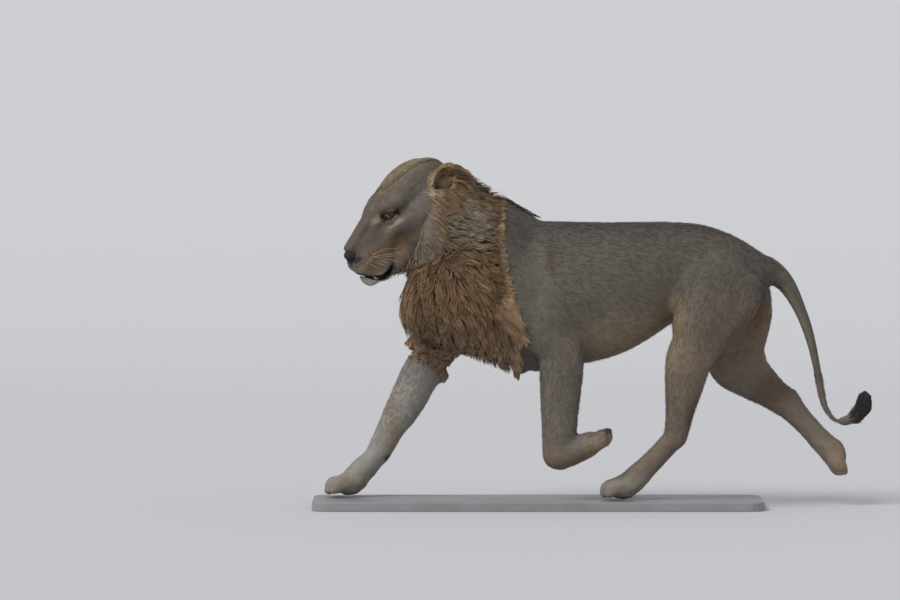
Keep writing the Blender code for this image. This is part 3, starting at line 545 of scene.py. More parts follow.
# ---- Lie of the coat: each length of the body has a line down its middle, which gives the way the hair runs
# and the place of each hair on an unwrap of the skin, laid open along the line as round a tube.
LINES = {  # places in metres, a radius at each, and the tube's corner and size on the unwrap
    "trunk": (((-0.66, -0.03, 0.97), (-0.50, -0.02, 0.86), (-0.30, 0, 0.76), (-0.10, 0, 0.72), (0.15, 0, 0.76),
               (0.35, 0, 0.80), (0.60, 0, 0.78)), (0.12, 0.17, 0.22, 0.22, 0.18, 0.13, 0.06),
              (0.01, 0.01, 0.60, 0.56)),
    "fore_left": (((-0.22, -0.12, 0.80), (-0.20, -0.13, 0.66), (-0.115, -0.128, 0.545), (-0.130, -0.122, 0.170),
                   (-0.030, -0.118, 0.212), (0.050, -0.116, 0.240)), (0.04, 0.07, 0.07, 0.055, 0.04, 0.03),
                  (0.01, 0.60, 0.22, 0.38)),
    "fore_right": (((-0.25, 0.12, 0.80), (-0.37, 0.13, 0.66), (-0.560, 0.115, 0.505), (-0.733, 0.095, 0.168),
                    (-0.820, 0.085, 0.082), (-0.930, 0.083, 0.060)), (0.04, 0.07, 0.07, 0.055, 0.04, 0.03),
                   (0.25, 0.60, 0.22, 0.38)),
    "hind_left": (((0.440, -0.085, 0.800), (0.36, -0.13, 0.640), (0.312, -0.135, 0.500), (0.262, -0.105, 0.240),
                   (0.092, -0.080, 0.078), (-0.01, -0.078, 0.060)), (0.09, 0.11, 0.09, 0.045, 0.04, 0.03),
                  (0.49, 0.60, 0.22, 0.38)),
    "hind_right": (((0.455, 0.085, 0.800), (0.44, 0.125, 0.620), (0.470, 0.130, 0.480), (0.655, 0.110, 0.345),
                    (0.794, 0.098, 0.178), (0.815, 0.096, 0.090)), (0.09, 0.11, 0.09, 0.045, 0.04, 0.03),
                   (0.73, 0.60, 0.22, 0.38)),
    "tail": (((0.540, 0, 0.80), (0.623, 0.002, 0.758), (0.672, 0.004, 0.679), (0.707, 0.006, 0.590),
              (0.730, 0.008, 0.500), (0.748, 0.011, 0.405), (0.763, 0.013, 0.338), (0.795, 0.015, 0.292),
              (0.834, 0.017, 0.288), (0.868, 0.018, 0.303), (0.892, 0.018, 0.333), (0.896, 0.018, 0.384)),
             (0.04, 0.034, 0.028, 0.024, 0.022, 0.020, 0.017, 0.016, 0.016, 0.02, 0.022, 0.016),
             (0.63, 0.45, 0.36, 0.12)),
    "head": (((-0.895, -0.140, 0.806), (-0.83, -0.119, 0.86), (-0.70, -0.077, 0.97), (-0.60, -0.045, 1.053),
              (-0.50, -0.02, 1.02)), (0.03, 0.065, 0.095, 0.11, 0.10), (0.63, 0.01, 0.36, 0.42)),
}
KINDS = list(LINES)
MARGIN, INNER = 0.03, 0.94  # of each tube's patch on the unwrap, left clear at each side and used


def along_line(name, points):
    """For each place: how far it is from a length's tube, how far along it lies, the way the line runs, and the
    nearest place on the line."""
    stations = np.array(LINES[name][0]) + (SHIFT, 0, 0)
    radii = np.array(LINES[name][1])
    ends = np.concatenate([[0], np.cumsum(np.linalg.norm(np.diff(stations, axis=0), axis=1))])
    best = np.full(len(points), 9.0)
    reach, foot = np.zeros(len(points)), np.zeros((len(points), 3))
    for k, (p, q) in enumerate(zip(stations, stations[1:])):
        share = np.clip(((points - p) @ (q - p)) / ((q - p) @ (q - p)), 0, 1)
        near = p + share[:, None] * (q - p)
        far = np.linalg.norm(points - near, axis=1) - (radii[k] + share * (radii[k + 1] - radii[k]))
        closer = far < best
        best = np.where(closer, far, best)
        reach = np.where(closer, (ends[k] + share * (ends[k + 1] - ends[k])) / ends[-1], reach)
        foot[closer] = near[closer]
    spots = np.stack([np.interp(np.linspace(0, ends[-1], 24), ends, column) for column in stations.T], 1)
    ways = np.gradient(spots, axis=0)
    for _ in range(2):  # the line's bends are rounded
        ways[1:-1] = (ways[:-2] + 2 * ways[1:-1] + ways[2:]) / 4
    way = np.array([np.interp(reach, np.linspace(0, 1, 24), column) for column in ways.T]).T
    return best, reach, way / np.linalg.norm(way, axis=1, keepdims=True), foot


def kinds_of(points):
    """Which length of the body each place belongs to."""
    return np.argmin([along_line(name, points)[0] for name in KINDS], 0)


def turned(name, arms):
    """The turn round a line of places, from their arms out from it."""
    return np.arctan2(arms[:, 1], arms[:, 2] if name in ("trunk", "tail", "head") else -arms[:, 0])


def unwrapped(points, kinds, middles=None):
    """Places on the unwrap. Where middles are given, a place turns the shorter way from its face's middle."""
    found = np.zeros((len(points), 2))
    for number, name in enumerate(KINDS):
        held = kinds == number
        if not held.any():
            continue
        (_, share, _, foot), (left, low, wide, tall) = along_line(name, points[held]), LINES[name][2]
        turn = turned(name, points[held] - foot)
        if middles is not None:
            centre = turned(name, middles[held] - along_line(name, middles[held])[3])
            turn = centre + (turn - centre + np.pi) % (2 * np.pi) - np.pi
        across = 0.5 + INNER * turn / (2 * np.pi)
        found[held] = np.stack([left + wide * (MARGIN + INNER * share), low + tall * across], 1)
    return found


def lie(points):
    """The way the short coat runs: down each limb, back along the trunk and a little down."""
    total = np.zeros((len(points), 3))
    for name in KINDS:
        far, _, way, _ = along_line(name, points)
        if name == "trunk":
            way = way * (1, 1, 0.3) + (0, 0, -0.35)
        total += way * np.exp(-np.clip(far, -0.02, 1) / 0.022)[:, None]
    return unit(total)

# ---- Markings and painted light: the coat's colours, the same on the skin and on every hair that grows from it, as
# soft patches of tone over each part of the body; the far legs are painted paler than the near ones as painted
# light, and painted shade lies round the lids' opening and in the ears' cups.
def layered(colour, layers):
    """Lays each tone over the colour as far as its share goes."""
    for tone, share in layers:
        colour = colour + (np.array(paint(*tone)) - colour) * np.clip(share, 0, 1)[:, None]
    return colour


def about(points, centre, radii, soft=0.45):
    """1 in the middle of an egg-shaped place, 0 outside it."""
    far = np.sqrt((((points - np.array(centre)) / np.array(radii)) ** 2).sum(1))
    return 1 - step(far, 1 - soft, 1 + soft)


def patches(points, rows, sides=(1,)):
    """Layers of a tone each, in an egg-shaped place that covers as much as its last value says."""
    return [(tone, about(points, (x, side * y, z), radii) * cover)
            for side in sides for tone, (x, y, z), radii, cover in rows]


def to_skull(points, signed=False):
    """Places as forward, sideways, without its sign unless it is asked for, and out."""
    inverse = np.array(HEAD_PLACE.inverted())
    local = points @ inverse[:3, :3].T + inverse[:3, 3]
    return local if signed else np.stack([local[:, 0], np.abs(local[:, 1]), local[:, 2]], 1)


def to_ear(q):
    """Places of the skull's frame in the ear's own: across, out of the opening and along it."""
    inverse = np.array(EAR_PLACE.inverted())
    return q @ inverse[:3, :3].T + inverse[:3, 3]


def ear_rim(e):
    """1 on the ear's rim, less inside it."""
    return np.hypot(e[:, 0] / 0.043, (e[:, 2] + 0.002) / 0.055)


def body_colour(points):
    p = points - (SHIFT, 0, 0)
    x, y, z = p.T
    low = np.interp(x, (-0.3, -0.1, 0.1, 0.25, 0.45), (0.50, 0.48, 0.52, 0.60, 0.66))
    high = np.interp(x, (-0.3, 0.3, 0.45, 0.6), (0.95, 0.95, 0.92, 0.80))
    share = (z - low) / (high - low)
    colour = layered(np.tile(paint(96, 90, 80), (len(p), 1)), [
        ((82, 74, 66), step(share, 0.62, 1.0)),
        ((62, 55, 50), step(share, 0.90, 1.02) * about(p, (0.18, 0, 0.95), (0.30, 0.3, 0.2)) * 0.8),
        ((136, 119, 98), (1 - step(share, 0.08, 0.44)) * step(x, -0.14, 0.05) * (z > 0.4)),
        *patches(p, (((90, 81, 73), (0.42, 0.16, 0.70), (0.17, 0.16, 0.22), 0.75),  # thigh
                     ((70, 55, 45), (-0.150, 0.13, 0.825), (0.022, 0.10, 0.055), 0.8),
                     ((142, 118, 90), (0.262, 0.12, 0.625), (0.024, 0.10, 0.085), 0.7),
                     ((112, 105, 94), (-0.19, 0.16, 0.74), (0.030, 0.12, 0.16), 0.5)), (-1, 1))])
    shoulder, rump = about(p, (-0.22, 0, 0.72), (0.20, 0.3, 0.30)), about(p, (0.44, 0, 0.72), (0.24, 0.3, 0.26))
    colour = colour * (1 - 0.07 * shoulder - 0.08 * rump)[:, None]
    leg = 1 - step(z, 0.36, 0.60)
    tail = step(x, 0.60, 0.66) * (np.abs(y) < 0.07) * step(x + z, 1.12, 1.20)
    pads = (1 - step(z, 0.036, 0.046)) * (1 - tail)  # the soles
    for centre, radii, soft in (((0.052, -0.116, 0.262), (0.055, 0.05, 0.012), 0.3),
                                ((0.848, 0.097, 0.165), (0.016, 0.05, 0.055), 0.3),
                                ((-0.695, 0.092, 0.160), (0.016, 0.03, 0.016), 0.4)):
        pads = np.maximum(pads, about(p, centre, radii, soft))
    under = np.interp(z, (0.30, 0.50, 0.62, 0.75), (0.754, 0.730, 0.700, 0.632)) - x  # the tail's paler underside
    colour = layered(colour, [
        # painted light: the far legs (y above 0) are painted paler than the near ones, lit and shaded copies of one
        # leg colour
        ((104, 96, 88), leg * (y < 0) * (x < 0.1) * (x > -0.35) * (z > 0.12)),
        ((138, 134, 127), leg * (y > 0) * (x < -0.2)),
        ((112, 100, 86), leg * (y < 0.01) * (x > 0.1) * (1 - tail)),
        ((122, 111, 97), leg * (y > 0.03) * (x > 0.3)),
        *patches(p, (((132, 112, 88), (-0.68, 0.09, 0.30), (0.022, 0.12, 0.17), 0.5),
                     ((96, 76, 58), (0.600, 0.10, 0.395), (0.075, 0.09, 0.055), 0.7),
                     ((116, 84, 56), (0.540, 0.02, 0.64), (0.040, 0.09, 0.055), 0.9),
                     ((78, 62, 50), (0.318, -0.10, 0.30), (0.026, 0.09, 0.080), 0.65))),
        ((134, 127, 116), (1 - step(z, 0.085, 0.135)) * (1 - tail)),  # feet
        *patches(p, (((138, 119, 94), (0.02, -0.117, 0.215), (0.07, 0.08, 0.05), 0.8),
                     ((134, 113, 88), (0.815, 0.097, 0.14), (0.05, 0.07, 0.07), 0.8))),
        ((120, 94, 66), (1 - step(np.abs(z - 0.165), 0.01, 0.035)) * (x > -0.22) * (x < -0.05) * (y < 0) * 0.5),
        ((44, 40, 38), pads * 0.85),
        ((88, 84, 76), tail),
        ((122, 112, 92), tail * step(under, -0.008, 0.010) * step(z, 0.42, 0.60) * 0.8)])
    colour = colour * np.interp(z, (0.40, 0.60), (0.98, 0.87))[:, None]
    return layered(colour, [((24, 21, 19), tail * step(along_line("tail", points)[1], 0.84, 0.90))])


def mane_colour(points):
    p = points - (SHIFT, 0, 0)
    x, y, z = p.T
    return layered(np.tile(paint(124, 97, 69), (len(p), 1)), [
        ((142, 118, 90), 1 - step(z, 0.50, 0.74)),
        ((112, 91, 64), step(z, 0.86, 0.98)),
        *patches(p, (((132, 124, 108), (-0.455, 0.15, 0.950), (0.052, 0.12, 0.075), 0.85),), (-1, 1)),
        *patches(p, (((100, 76, 50), (-0.36, 0, 0.80), (0.050, 0.3, 0.20), 0.6),
                     ((58, 42, 30), (-0.28, 0, 1.03), (0.16, 0.035, 0.07), 0.9),
                     ((152, 124, 92), (-0.64, -0.03, 0.62), (0.06, 0.2, 0.20), 0.5))),
        ((150, 126, 96), (1 - step(rear_edge(z) - SHIFT - x, 0.008, 0.034)) * (z < 0.98) * 0.75)])


def head_colour(points):
    """The face's colours, from places in the skull's frame."""
    q = to_skull(points)
    a, s, o = q.T
    colour = layered(np.tile(paint(100, 90, 77), (len(q), 1)), patches(q, (
        ((92, 78, 66), (0.10, 0, 0.07), (0.10, 0.08, 0.06), 0.8),  # forehead
        ((128, 115, 92), (-0.03, 0, 0.10), (0.09, 0.08, 0.05), 1),  # crown
        ((146, 130, 100), (0.072, 0.02, 0.100), (0.030, 0.04, 0.03), 0.5),
        ((84, 72, 61), (0.24, 0, 0.045), (0.08, 0.035, 0.04), 0.8),  # bridge
        ((68, 57, 48), (0.278, 0.030, -0.006), (0.050, 0.050, 0.026), 0.8),
        ((70, 61, 53), (0.215, 0.045, 0.008), (0.060, 0.026, 0.040), 0.8),
        ((92, 88, 79), (0.05, 0.10, 0.01), (0.085, 0.06, 0.055), 0.8),  # temple
        ((82, 66, 56), (0.120, 0.09, -0.045), (0.055, 0.05, 0.028), 0.7),
        ((118, 110, 98), (0.04, 0.10, -0.085), (0.075, 0.06, 0.050), 0.8),  # cheek
        ((122, 94, 65), (0.178, 0.06, -0.082), (0.075, 0.05, 0.032), 0.7),
        ((108, 82, 53), (0.258, 0.05, -0.062), (0.054, 0.045, 0.034), 0.9),  # whisker pads
        ((146, 126, 94), (0.286, 0.050, -0.055), (0.040, 0.035, 0.0075), 0.75),
        ((150, 138, 122), (0.128, 0.075, -0.016), (0.030, 0.035, 0.0065), 0.75),  # under the eye
        ((150, 136, 118), (0.163, 0.042, 0.030), (0.028, 0.020, 0.013), 0.8),
        ((54, 43, 37), (0.176, 0.045, 0.006), (0.034, 0.024, 0.009), 0.75),
        ((176, 171, 163), (0.285, 0, -0.125), (0.060, 0.060, 0.034), 1),  # chin
        ((152, 142, 124), (0.310, 0.020, -0.062), (0.026, 0.040, 0.012), 0.7),
        ((128, 118, 104), (0.15, 0.02, -0.165), (0.16, 0.06, 0.05), 0.6))))
    colour = colour * (1 - 0.10 * about(q, (0.27, 0, -0.03), (0.10, 0.08, 0.065)))[:, None]
    gap, lid, far = mouth_gap(a, s, o), lid_gap(a, s, o), eye_frame(a, s, o)[3]
    lips = (1 - step(np.abs(gap), 0.003, 0.0065)) * (a > 0.215) * (a < 0.345) * (o < -0.04)
    lips = np.maximum(lips, about(q, (0.234, 0.050, -0.126), (0.017, 0.02, 0.011)))
    lips = np.maximum(lips, about(q, (0.304, 0.045, -0.029), (0.020, 0.030, 0.0095), 0.18) * 0.95)  # nostril's wing
    rim = 1 - step(lid + 0.02 * np.maximum(far - 0.026, 0), 0.0042, 0.0078)
    tear = from_rod(q.T, np.array(TEAR_LINE[0]), np.array(TEAR_LINE[1]), 0, 0)
    rows = np.abs(((o * 0.94 + a * 0.34) * 95 + 0.5) % 1 - 0.5)  # the whiskers' spots stand in rows
    dots = np.abs(((a * 0.94 - o * 0.34) * 80 + 0.5) % 1 - 0.5)
    dotted = 1 - step(np.hypot(rows, dots), 0.16, 0.30)
    dotted = dotted * about(q, (0.275, 0.062, -0.045), (0.038, 0.03, 0.024), 0.2)
    e = to_ear(q)
    ear = about(e, (0, 0, 0.004), (0.054, 0.036, 0.066), 0.15)
    # the hollow of the ear's cup, which is painted darker as painted shade
    inside = step(e[:, 1], 0.0, 0.004) * about(e, (0.002, 0.0, 0.002), (0.030, 0.05, 0.040), 0.3)
    return layered(colour, [
        ((30, 22, 20), lips),
        ((92, 50, 46), (1 - step(gap, -0.010, -0.004)) * (s < 0.034) * (a > 0.2)),  # tongue
        # painted shade: a darker band round the lids' opening, where the lids shade the eye; the black rim below is
        # the lids' own
        ((54, 42, 36), (1 - step(lid, 0.003, 0.011)) * (far < EYE_FIELD) * 0.75),
        ((24, 18, 15), rim * (far < EYE_FIELD)),
        ((32, 24, 20), 1 - step(tear, 0.0042, 0.0098)),
        ((60, 42, 30), dotted * 0.6),
        ((140, 114, 80), ear),
        ((58, 46, 36), ear * step(-e[:, 1], 0.006, 0.016) * (1 - step(np.abs(e[:, 2] - 0.006), 0.030, 0.045))),
        ((164, 140, 104), ear * step(ear_rim(e), 0.84, 0.96)),
        # painted shade in the hollow of the ear's cup
        ((72, 54, 42), ear * inside * 0.8)])


def in_mane_at(points):
    """1 where the long hair of the mane grows."""
    x, y, z = points.T
    return (step(limbs.at(points.astype(np.float32)), 0.0, 0.015) * step(rear_edge(z) - x, -0.010, 0.015)
            * step(behind_face(x, z), -0.02, 0.01))


def on_head(points):
    """1 where the short coat is the face's."""
    x, y, z = points.T
    return step(-behind_face(x, z), -0.030, -0.005) * (z > 0.70) * (x < -0.38)


def markings_and_painted_light(points):
    points = points.astype(np.float64)
    head = np.maximum(on_head(points), about(to_skull(points), (0.02, 0, 0.02), (0.16, 0.14, 0.12), 0.1))
    colour = body_colour(points)
    colour = colour + (mane_colour(points) - colour) * in_mane_at(points)[:, None]
    return colour + (head_colour(points) - colour) * head[:, None]


def carried(data, name, kind, values):
    """Stores values on a mesh's points."""
    layer = data.attributes.new(name, kind, "POINT")
    key = {"FLOAT": "value", "FLOAT_VECTOR": "vector", "FLOAT_COLOR": "color"}[kind]
    layer.data.foreach_set(key, np.ascontiguousarray(values, np.float32).ravel())


tints = np.column_stack([markings_and_painted_light(skin_points), np.ones(len(skin_points))]).astype(np.float32)
skin.data.color_attributes.new("tint", "FLOAT_COLOR", "POINT").data.foreach_set("color", tints.ravel())
kinds = kinds_of(skin_points)
comb = np.zeros((len(skin_points), 3))
for number, name in enumerate(KINDS):  # places drawn out along the lie of the coat, for its streaks
    _, share, _, foot = along_line(name, skin_points[kinds == number])
    comb[kinds == number] = (skin_points[kinds == number] - foot) * 200 + share[:, None] * (22, 8, 14)
carried(skin.data, "comb", "FLOAT_VECTOR", comb)
middles = skin_points[skin_faces].mean(1)
unwrap = unwrapped(skin_points[skin_faces.ravel()].astype(np.float64), np.repeat(kinds_of(middles), 3),
                   np.repeat(middles, 3, 0).astype(np.float64))
skin.data.uv_layers.new(name="OFBake").data.foreach_set("uv", unwrap.astype(np.float32).ravel())

hairs = coat_finish.noise(coat_finish.attribute("comb", out=1), 1.0, 3.0, 0.6)
mottle = coat_finish.noise(coat_finish.object_place(), 30.0, 4.0, 0.6)
tone = coat_finish.mix(hairs.step(0.25, 0.75), (0.86, 0.85, 0.84), (1.12, 1.11, 1.10))
cloud = coat_finish.mix(mottle.step(0.30, 0.72), (0.93, 0.92, 0.92), (1.07, 1.07, 1.06))
tone = coat_finish.mix(1.0, tone, cloud, "MULTIPLY")
coat_finish.feed("Base Color", coat_finish.mix(1.0, coat_finish.attribute("tint"), tone, "MULTIPLY"))
coat_finish.bump(hairs, 0.55, 0.0016)

# ---- Short coat: flat tufts about two centimetres long over the trunk, legs and tail, laid down the way the
# hair runs, evenly spread but for the mane and the face, and smallest on the feet.
skin.data.calc_loop_triangles()
skin_triangles = np.empty(len(skin.data.loop_triangles) * 3, np.int32)
skin.data.loop_triangles.foreach_get("vertices", skin_triangles)
skin_corners = skin_points[skin_triangles.reshape(-1, 3)].astype(np.float32)
skin_edges = [skin_corners[:, k] - skin_corners[:, 0] for k in (1, 2)]
skin_areas = np.linalg.norm(np.cross(*skin_edges), axis=1) / 2
ROOT_SINK = 0.0012  # how deep the roots sit in the skin
PATCH = 0.003  # the side of a tuft's patch on the unwrap
FOLD = 1.45  # edges that turn by more than this, in radians, stay sharp


def sown(count, weight, seed):
    """Roots scattered over the skin, closer where the weight is greater."""
    chance = np.random.default_rng(seed)
    heavy = skin_areas * weight(skin_corners.mean(1))
    pick = chance.choice(len(heavy), count, p=heavy / heavy.sum())
    u, v = np.sqrt(chance.random(count)), chance.random(count)
    a, b, c = (skin_corners[pick, k] for k in range(3))
    return ((1 - u)[:, None] * a + (u * (1 - v))[:, None] * b + (u * v)[:, None] * c).astype(np.float32)


def combed(form, roots, way, length, rise, steps, sway, seed, clear=0.0, hang=False):
    """The path of each lock: from its root along the way the coat runs, lifting off the skin by its rise. On the
    underside a loose one hangs."""
    length, rise = length.astype(np.float32), rise.astype(np.float32)
    start = form.at(roots)
    at, paths, outs = roots.copy(), [roots.copy()], []
    swing = np.random.default_rng(seed).uniform(-1, 1, len(roots)) * sway
    for k in range(1, steps):
        share = k / (steps - 1)
        out = form.outward(at)
        run = way(at)
        run = unit(run - (run * out).sum(1, keepdims=True) * out)
        loose = step(-out[:, 2], 0.25, 0.70)[:, None] if hang else 0
        run = unit(run * (1 - loose) + np.array((0.25, 0, -1.0), np.float32) * loose)
        side = np.cross(out, run)
        run = unit(run + side * (swing * math.cos(2.2 * share))[:, None])
        at = at + run * (length / (steps - 1))[:, None]
        out = form.outward(at)
        level = start + rise * (1 - (1 - share) ** 1.7)
        lift = (level - form.at(at)) * (1 - loose[:, 0] if hang else 1)
        at = (at + lift[:, None] * out).astype(np.float32)
        if clear:  # never under the skin
            at = (at + np.maximum(clear * (0.3 + share) - whole_skin.at(at), 0)[:, None] * out).astype(np.float32)
        paths.append(at)
        outs.append(out)
    outs.insert(0, outs[0])
    return np.stack(paths, 1), np.stack(outs, 1)


def lock_tree():
    """Geometry Nodes that turn lines into tapered locks, flat to the skin, each with its patch of the unwrap."""
    tree = bpy.data.node_groups.new("locks", "GeometryNodeTree")
    for name, kind in (("Lines", "Geometry"), ("Sides", "Int"), ("Thickness", "Float"), ("Patch", "Float"),
                       ("Finish", "Material")):
        tree.interface.new_socket(name=name, in_out="INPUT", socket_type="NodeSocket" + kind)
    tree.interface.new_socket(name="Locks", in_out="OUTPUT", socket_type="NodeSocketGeometry")
    graph, given = Graph(tree), tree.nodes.new("NodeGroupInput")
    lines, sides, thickness, patch, finish = (Value(graph, socket) for socket in list(given.outputs)[:5])

    def held(name, kind="FLOAT"):
        return graph.add("GeometryNodeInputNamedAttribute", {"data_type": kind}, Name=name)

    def stored(solid, name, kind, domain, value):
        return graph.add("GeometryNodeStoreNamedAttribute", {"data_type": kind, "domain": domain},
                         Geometry=solid, Name=name, Value=value)

    curves = graph.add("GeometryNodeMeshToCurve", {}, Mesh=lines)
    curves = graph.add("GeometryNodeSetCurveNormal", {"mode": "FREE"}, Curve=curves,
                       Normal=held("flat", "FLOAT_VECTOR"))
    ring = graph.add("GeometryNodeCurvePrimitiveCircle", {"mode": "RADIUS"}, Resolution=sides, Radius=1.0)
    squash = graph.add("ShaderNodeCombineXYZ", {}, thickness, 1.0, 1.0)
    ring = graph.add("GeometryNodeTransform", {}, Geometry=ring, Scale=squash)
    ring = stored(ring, "across", "FLOAT", "POINT", graph.add("GeometryNodeInputIndex", {}) / sides)
    solid = graph.add("GeometryNodeCurveToMesh", {}, Curve=curves, Profile_Curve=ring, Scale=held("girth"),
                      Fill_Caps=True)
    spot = graph.add("ShaderNodeCombineXYZ", {}, held("across"), held("along"))
    spot = graph.add("ShaderNodeVectorMath", {"operation": "SCALE"}, Vector=spot, Scale=patch)
    spot = graph.add("ShaderNodeVectorMath", {"operation": "ADD"}, held("root", "FLOAT_VECTOR"), spot)
    solid = graph.add("GeometryNodeRealizeInstances", {}, Geometry=stored(solid, "OFBake", "FLOAT2", "CORNER", spot))
    keen = graph.add("FunctionNodeCompare", {"data_type": "FLOAT", "operation": "GREATER_THAN"},
                     A=graph.add("GeometryNodeInputMeshEdgeAngle", {}), B=FOLD)
    solid = graph.add("GeometryNodeSetShadeSmooth", {}, Geometry=solid)
    solid = graph.add("GeometryNodeSetShadeSmooth", {"domain": "EDGE"}, Geometry=solid, Selection=keen,
                      Shade_Smooth=False)
    solid = graph.add("GeometryNodeSetMaterial", {}, Geometry=solid, Material=finish)
    graph.join(solid, tree.nodes.new("NodeGroupOutput").inputs[0])
    return tree


hair_finish = Finish("coat_hair", Roughness=0.62)
streak = hair_finish.noise(hair_finish.object_place(), 260.0, 3.0, 0.6)
hair_finish.feed("Base Color", hair_finish.mix(1.0, hair_finish.attribute("tint"), hair_finish.mix(
    streak.step(0.30, 0.70), (0.90, 0.90, 0.90), (1.10, 1.09, 1.07)), "MULTIPLY"))
LOCKS = lock_tree()


def grown(name, paths, outs, width, colour=None, taper=1.6, thickness=0.42, shade=(0.78, 1.16), vary=0.16,
          settle=0.4, seed=0, sides=3, finish=hair_finish):
    """A coat piece: every path as a lock, widest below its middle, its colour that of the skin at its root, darker
    towards the root as painted shade and lighter towards the tip, by its shade. The more settled it is, the more
    it takes the light as the body under it does."""
    chance = np.random.default_rng(seed + 7)
    count, steps = paths.shape[:2]
    share = np.linspace(0, 1, steps)
    girth = width[:, None] / 2 * np.clip((0.72 + 0.56 * share) * (1 - share ** taper), 0.035, 1)[None]
    roots = paths[:, 0]
    tone = (markings_and_painted_light(roots) if colour is None else colour) * chance.uniform(1 - vary, 1 + vary, count)[:, None]
    warm = chance.normal(0, 0.03, count)[:, None] * (1, 0, -1)
    # painted shade: each lock is darker towards its root, where the coat shades it, and lighter towards its tip
    run = np.interp(share, (0, 0.55, 1), (shade[0], 1.0, shade[1]))
    tint = np.clip(tone[:, None] * (1 + warm[:, None]) * run[None, :, None], 0, 1)
    spot = np.zeros((count, steps, 3), np.float32)
    spot[:, :, :2] = (unwrapped(roots, kinds_of(roots)) - PATCH / 2)[:, None]
    data = bpy.data.meshes.new(name)
    data.vertices.add(count * steps)
    data.vertices.foreach_set("co", paths.astype(np.float32).ravel())
    first = (np.arange(count)[:, None] * steps + np.arange(steps - 1)).ravel()
    data.edges.add(len(first))
    data.edges.foreach_set("vertices", np.stack([first, first + 1], 1).astype(np.int32).ravel())
    carried(data, "girth", "FLOAT", girth)
    carried(data, "along", "FLOAT", np.tile(share, (count, 1)))
    carried(data, "flat", "FLOAT_VECTOR", outs)
    carried(data, "root", "FLOAT_VECTOR", spot)
    carried(data, "tint", "FLOAT_COLOR", np.concatenate([tint, np.ones((count, steps, 1))], 2))
    lines = placed(name, data)
    modifier = lines.modifiers.new("locks", "NODES")
    modifier.node_group = LOCKS
    given = {"Sides": sides, "Thickness": thickness, "Patch": PATCH, "Finish": finish.material}
    for item in LOCKS.interface.items_tree:
        if item.name in given:
            modifier[item.identifier] = given[item.name]
    mesh = bpy.data.meshes.new_from_object(lines.evaluated_get(bpy.context.evaluated_depsgraph_get()))
    bpy.data.objects.remove(lines)
    mesh.name = name
    normal, level = np.empty((2, len(mesh.vertices) * 3), np.float32)
    mesh.vertices.foreach_get("normal", normal)
    mesh.attributes["flat"].data.foreach_get("vector", level)
    mesh.normals_split_custom_set_from_vertices(unit((normal * (1 - settle) + level * settle).reshape(-1, 3)))
    for key in ("flat", "root", "girth"):
        if key in mesh.attributes:
            mesh.attributes.remove(mesh.attributes[key])
    piece = placed(name, mesh)
    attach(piece, "root")


def tufted(name, keep, count, seed, length, width):
    roots = sown(count, lambda p: (1 - in_mane_at(p)) * (1 - on_head(p)) * (p[:, 2] > 0.036) * keep(p), seed)
    chance = np.random.default_rng(seed)
    fine = 0.45 + 0.55 * step(roots[:, 2], 0.10, 0.35)  # smallest on the feet
    size = chance.uniform(0.75, 1.25, count) * fine
    rise = 0.0044 * fine * chance.uniform(0.35, 1.0, count)
    paths, outs = combed(body_form, roots, lie, length * size, rise, 3, 0.22, seed)
    paths[:, 0] -= outs[:, 0] * ROOT_SINK
    grown(name, paths, outs, width * size, None, 1.8, 0.20, (1.0, 1.06), 0.06, 0.85, seed)


tufted("coat_trunk", lambda p: (p[:, 2] > 0.46) * (p[:, 0] < 0.62 + SHIFT), 12900, 11, 0.021, 0.0036)
tufted("coat_fore_legs", lambda p: (p[:, 2] <= 0.46) * (p[:, 0] < 0.10), 6600, 12, 0.016, 0.0030)
tufted("coat_hind_legs", lambda p: (p[:, 2] <= 0.46) * (p[:, 0] >= 0.10), 8600, 13, 0.017, 0.0031)

# ---- Mane: long locks from the nape, cheeks and throat to the brisket. They run back over the neck and sweep
# down and back below it, in clumps that part and show the hair beneath, painted darker towards its roots as painted
# shade.
MANE_LOW = ((-0.66, 0.60), (-0.613, 0.548), (-0.52, 0.531), (-0.436, 0.520), (-0.372, 0.485), (-0.292, 0.445),
            (-0.21, 0.434))  # along the body, and how low the locks hang there
MANE_SPLIT = 0.79  # the height that parts the upper pieces from the lower
CLUMP_REACH = 0.035  # a lock joins only a leader closer than this
WAVE = 0.006


def mane_way(points):
    x, y, z = (points - (SHIFT, 0, 0)).T
    none = np.zeros(len(x))
    u, w = x + 0.475, z - 0.845  # from the mane's middle, which the locks fan out from
    far = np.maximum(np.hypot(u, w), 0.03)
    low = 1 - step(z, 0.80, 0.93)
    back = np.stack([none + 0.95, none, np.interp(z, (0.75, 0.9, 1.0, 1.1), (-0.45, -0.15, -0.25, -0.35))], 1)
    down = np.stack([np.interp(x, (-0.66, -0.55, -0.40), (-0.05, 0.10, 0.55)), none, none - 0.95], 1)
    side = step(np.abs(y), 0.02, 0.10)
    way = np.stack([u / far, none, w / far], 1) * (0.9 * low * side)[:, None]
    way = way + back * (1 - low)[:, None] * 1.2 + back * (low * 0.25)[:, None]
    return unit(way + down * (low * (1.15 - 0.85 * side))[:, None])


def clumped(paths, seed, share=0.07, pull=0.72):
    """Draws locks together towards their ends, each to the nearest of a few leading locks."""
    chance = np.random.default_rng(seed)
    leaders = chance.choice(len(paths), max(8, int(len(paths) * share)), replace=False)
    tree = kdtree.KDTree(len(leaders))
    for number, index in enumerate(leaders):
        tree.insert(paths[index, 0], number)
    tree.balance()
    mine = leaders[np.array([tree.find(root)[1] for root in paths[:, 0]])]
    amount = (np.linspace(0, 1, paths.shape[1]) ** 1.3 * pull)[None, :, None]
    amount = amount * chance.uniform(0.5, 1.1, (len(paths), 1, 1))
    offset = paths - paths[mine]
    amount = amount * (np.linalg.norm(offset[:, :1], axis=2, keepdims=True) < CLUMP_REACH)
    return paths - offset * np.clip(amount, 0, 0.93), mine


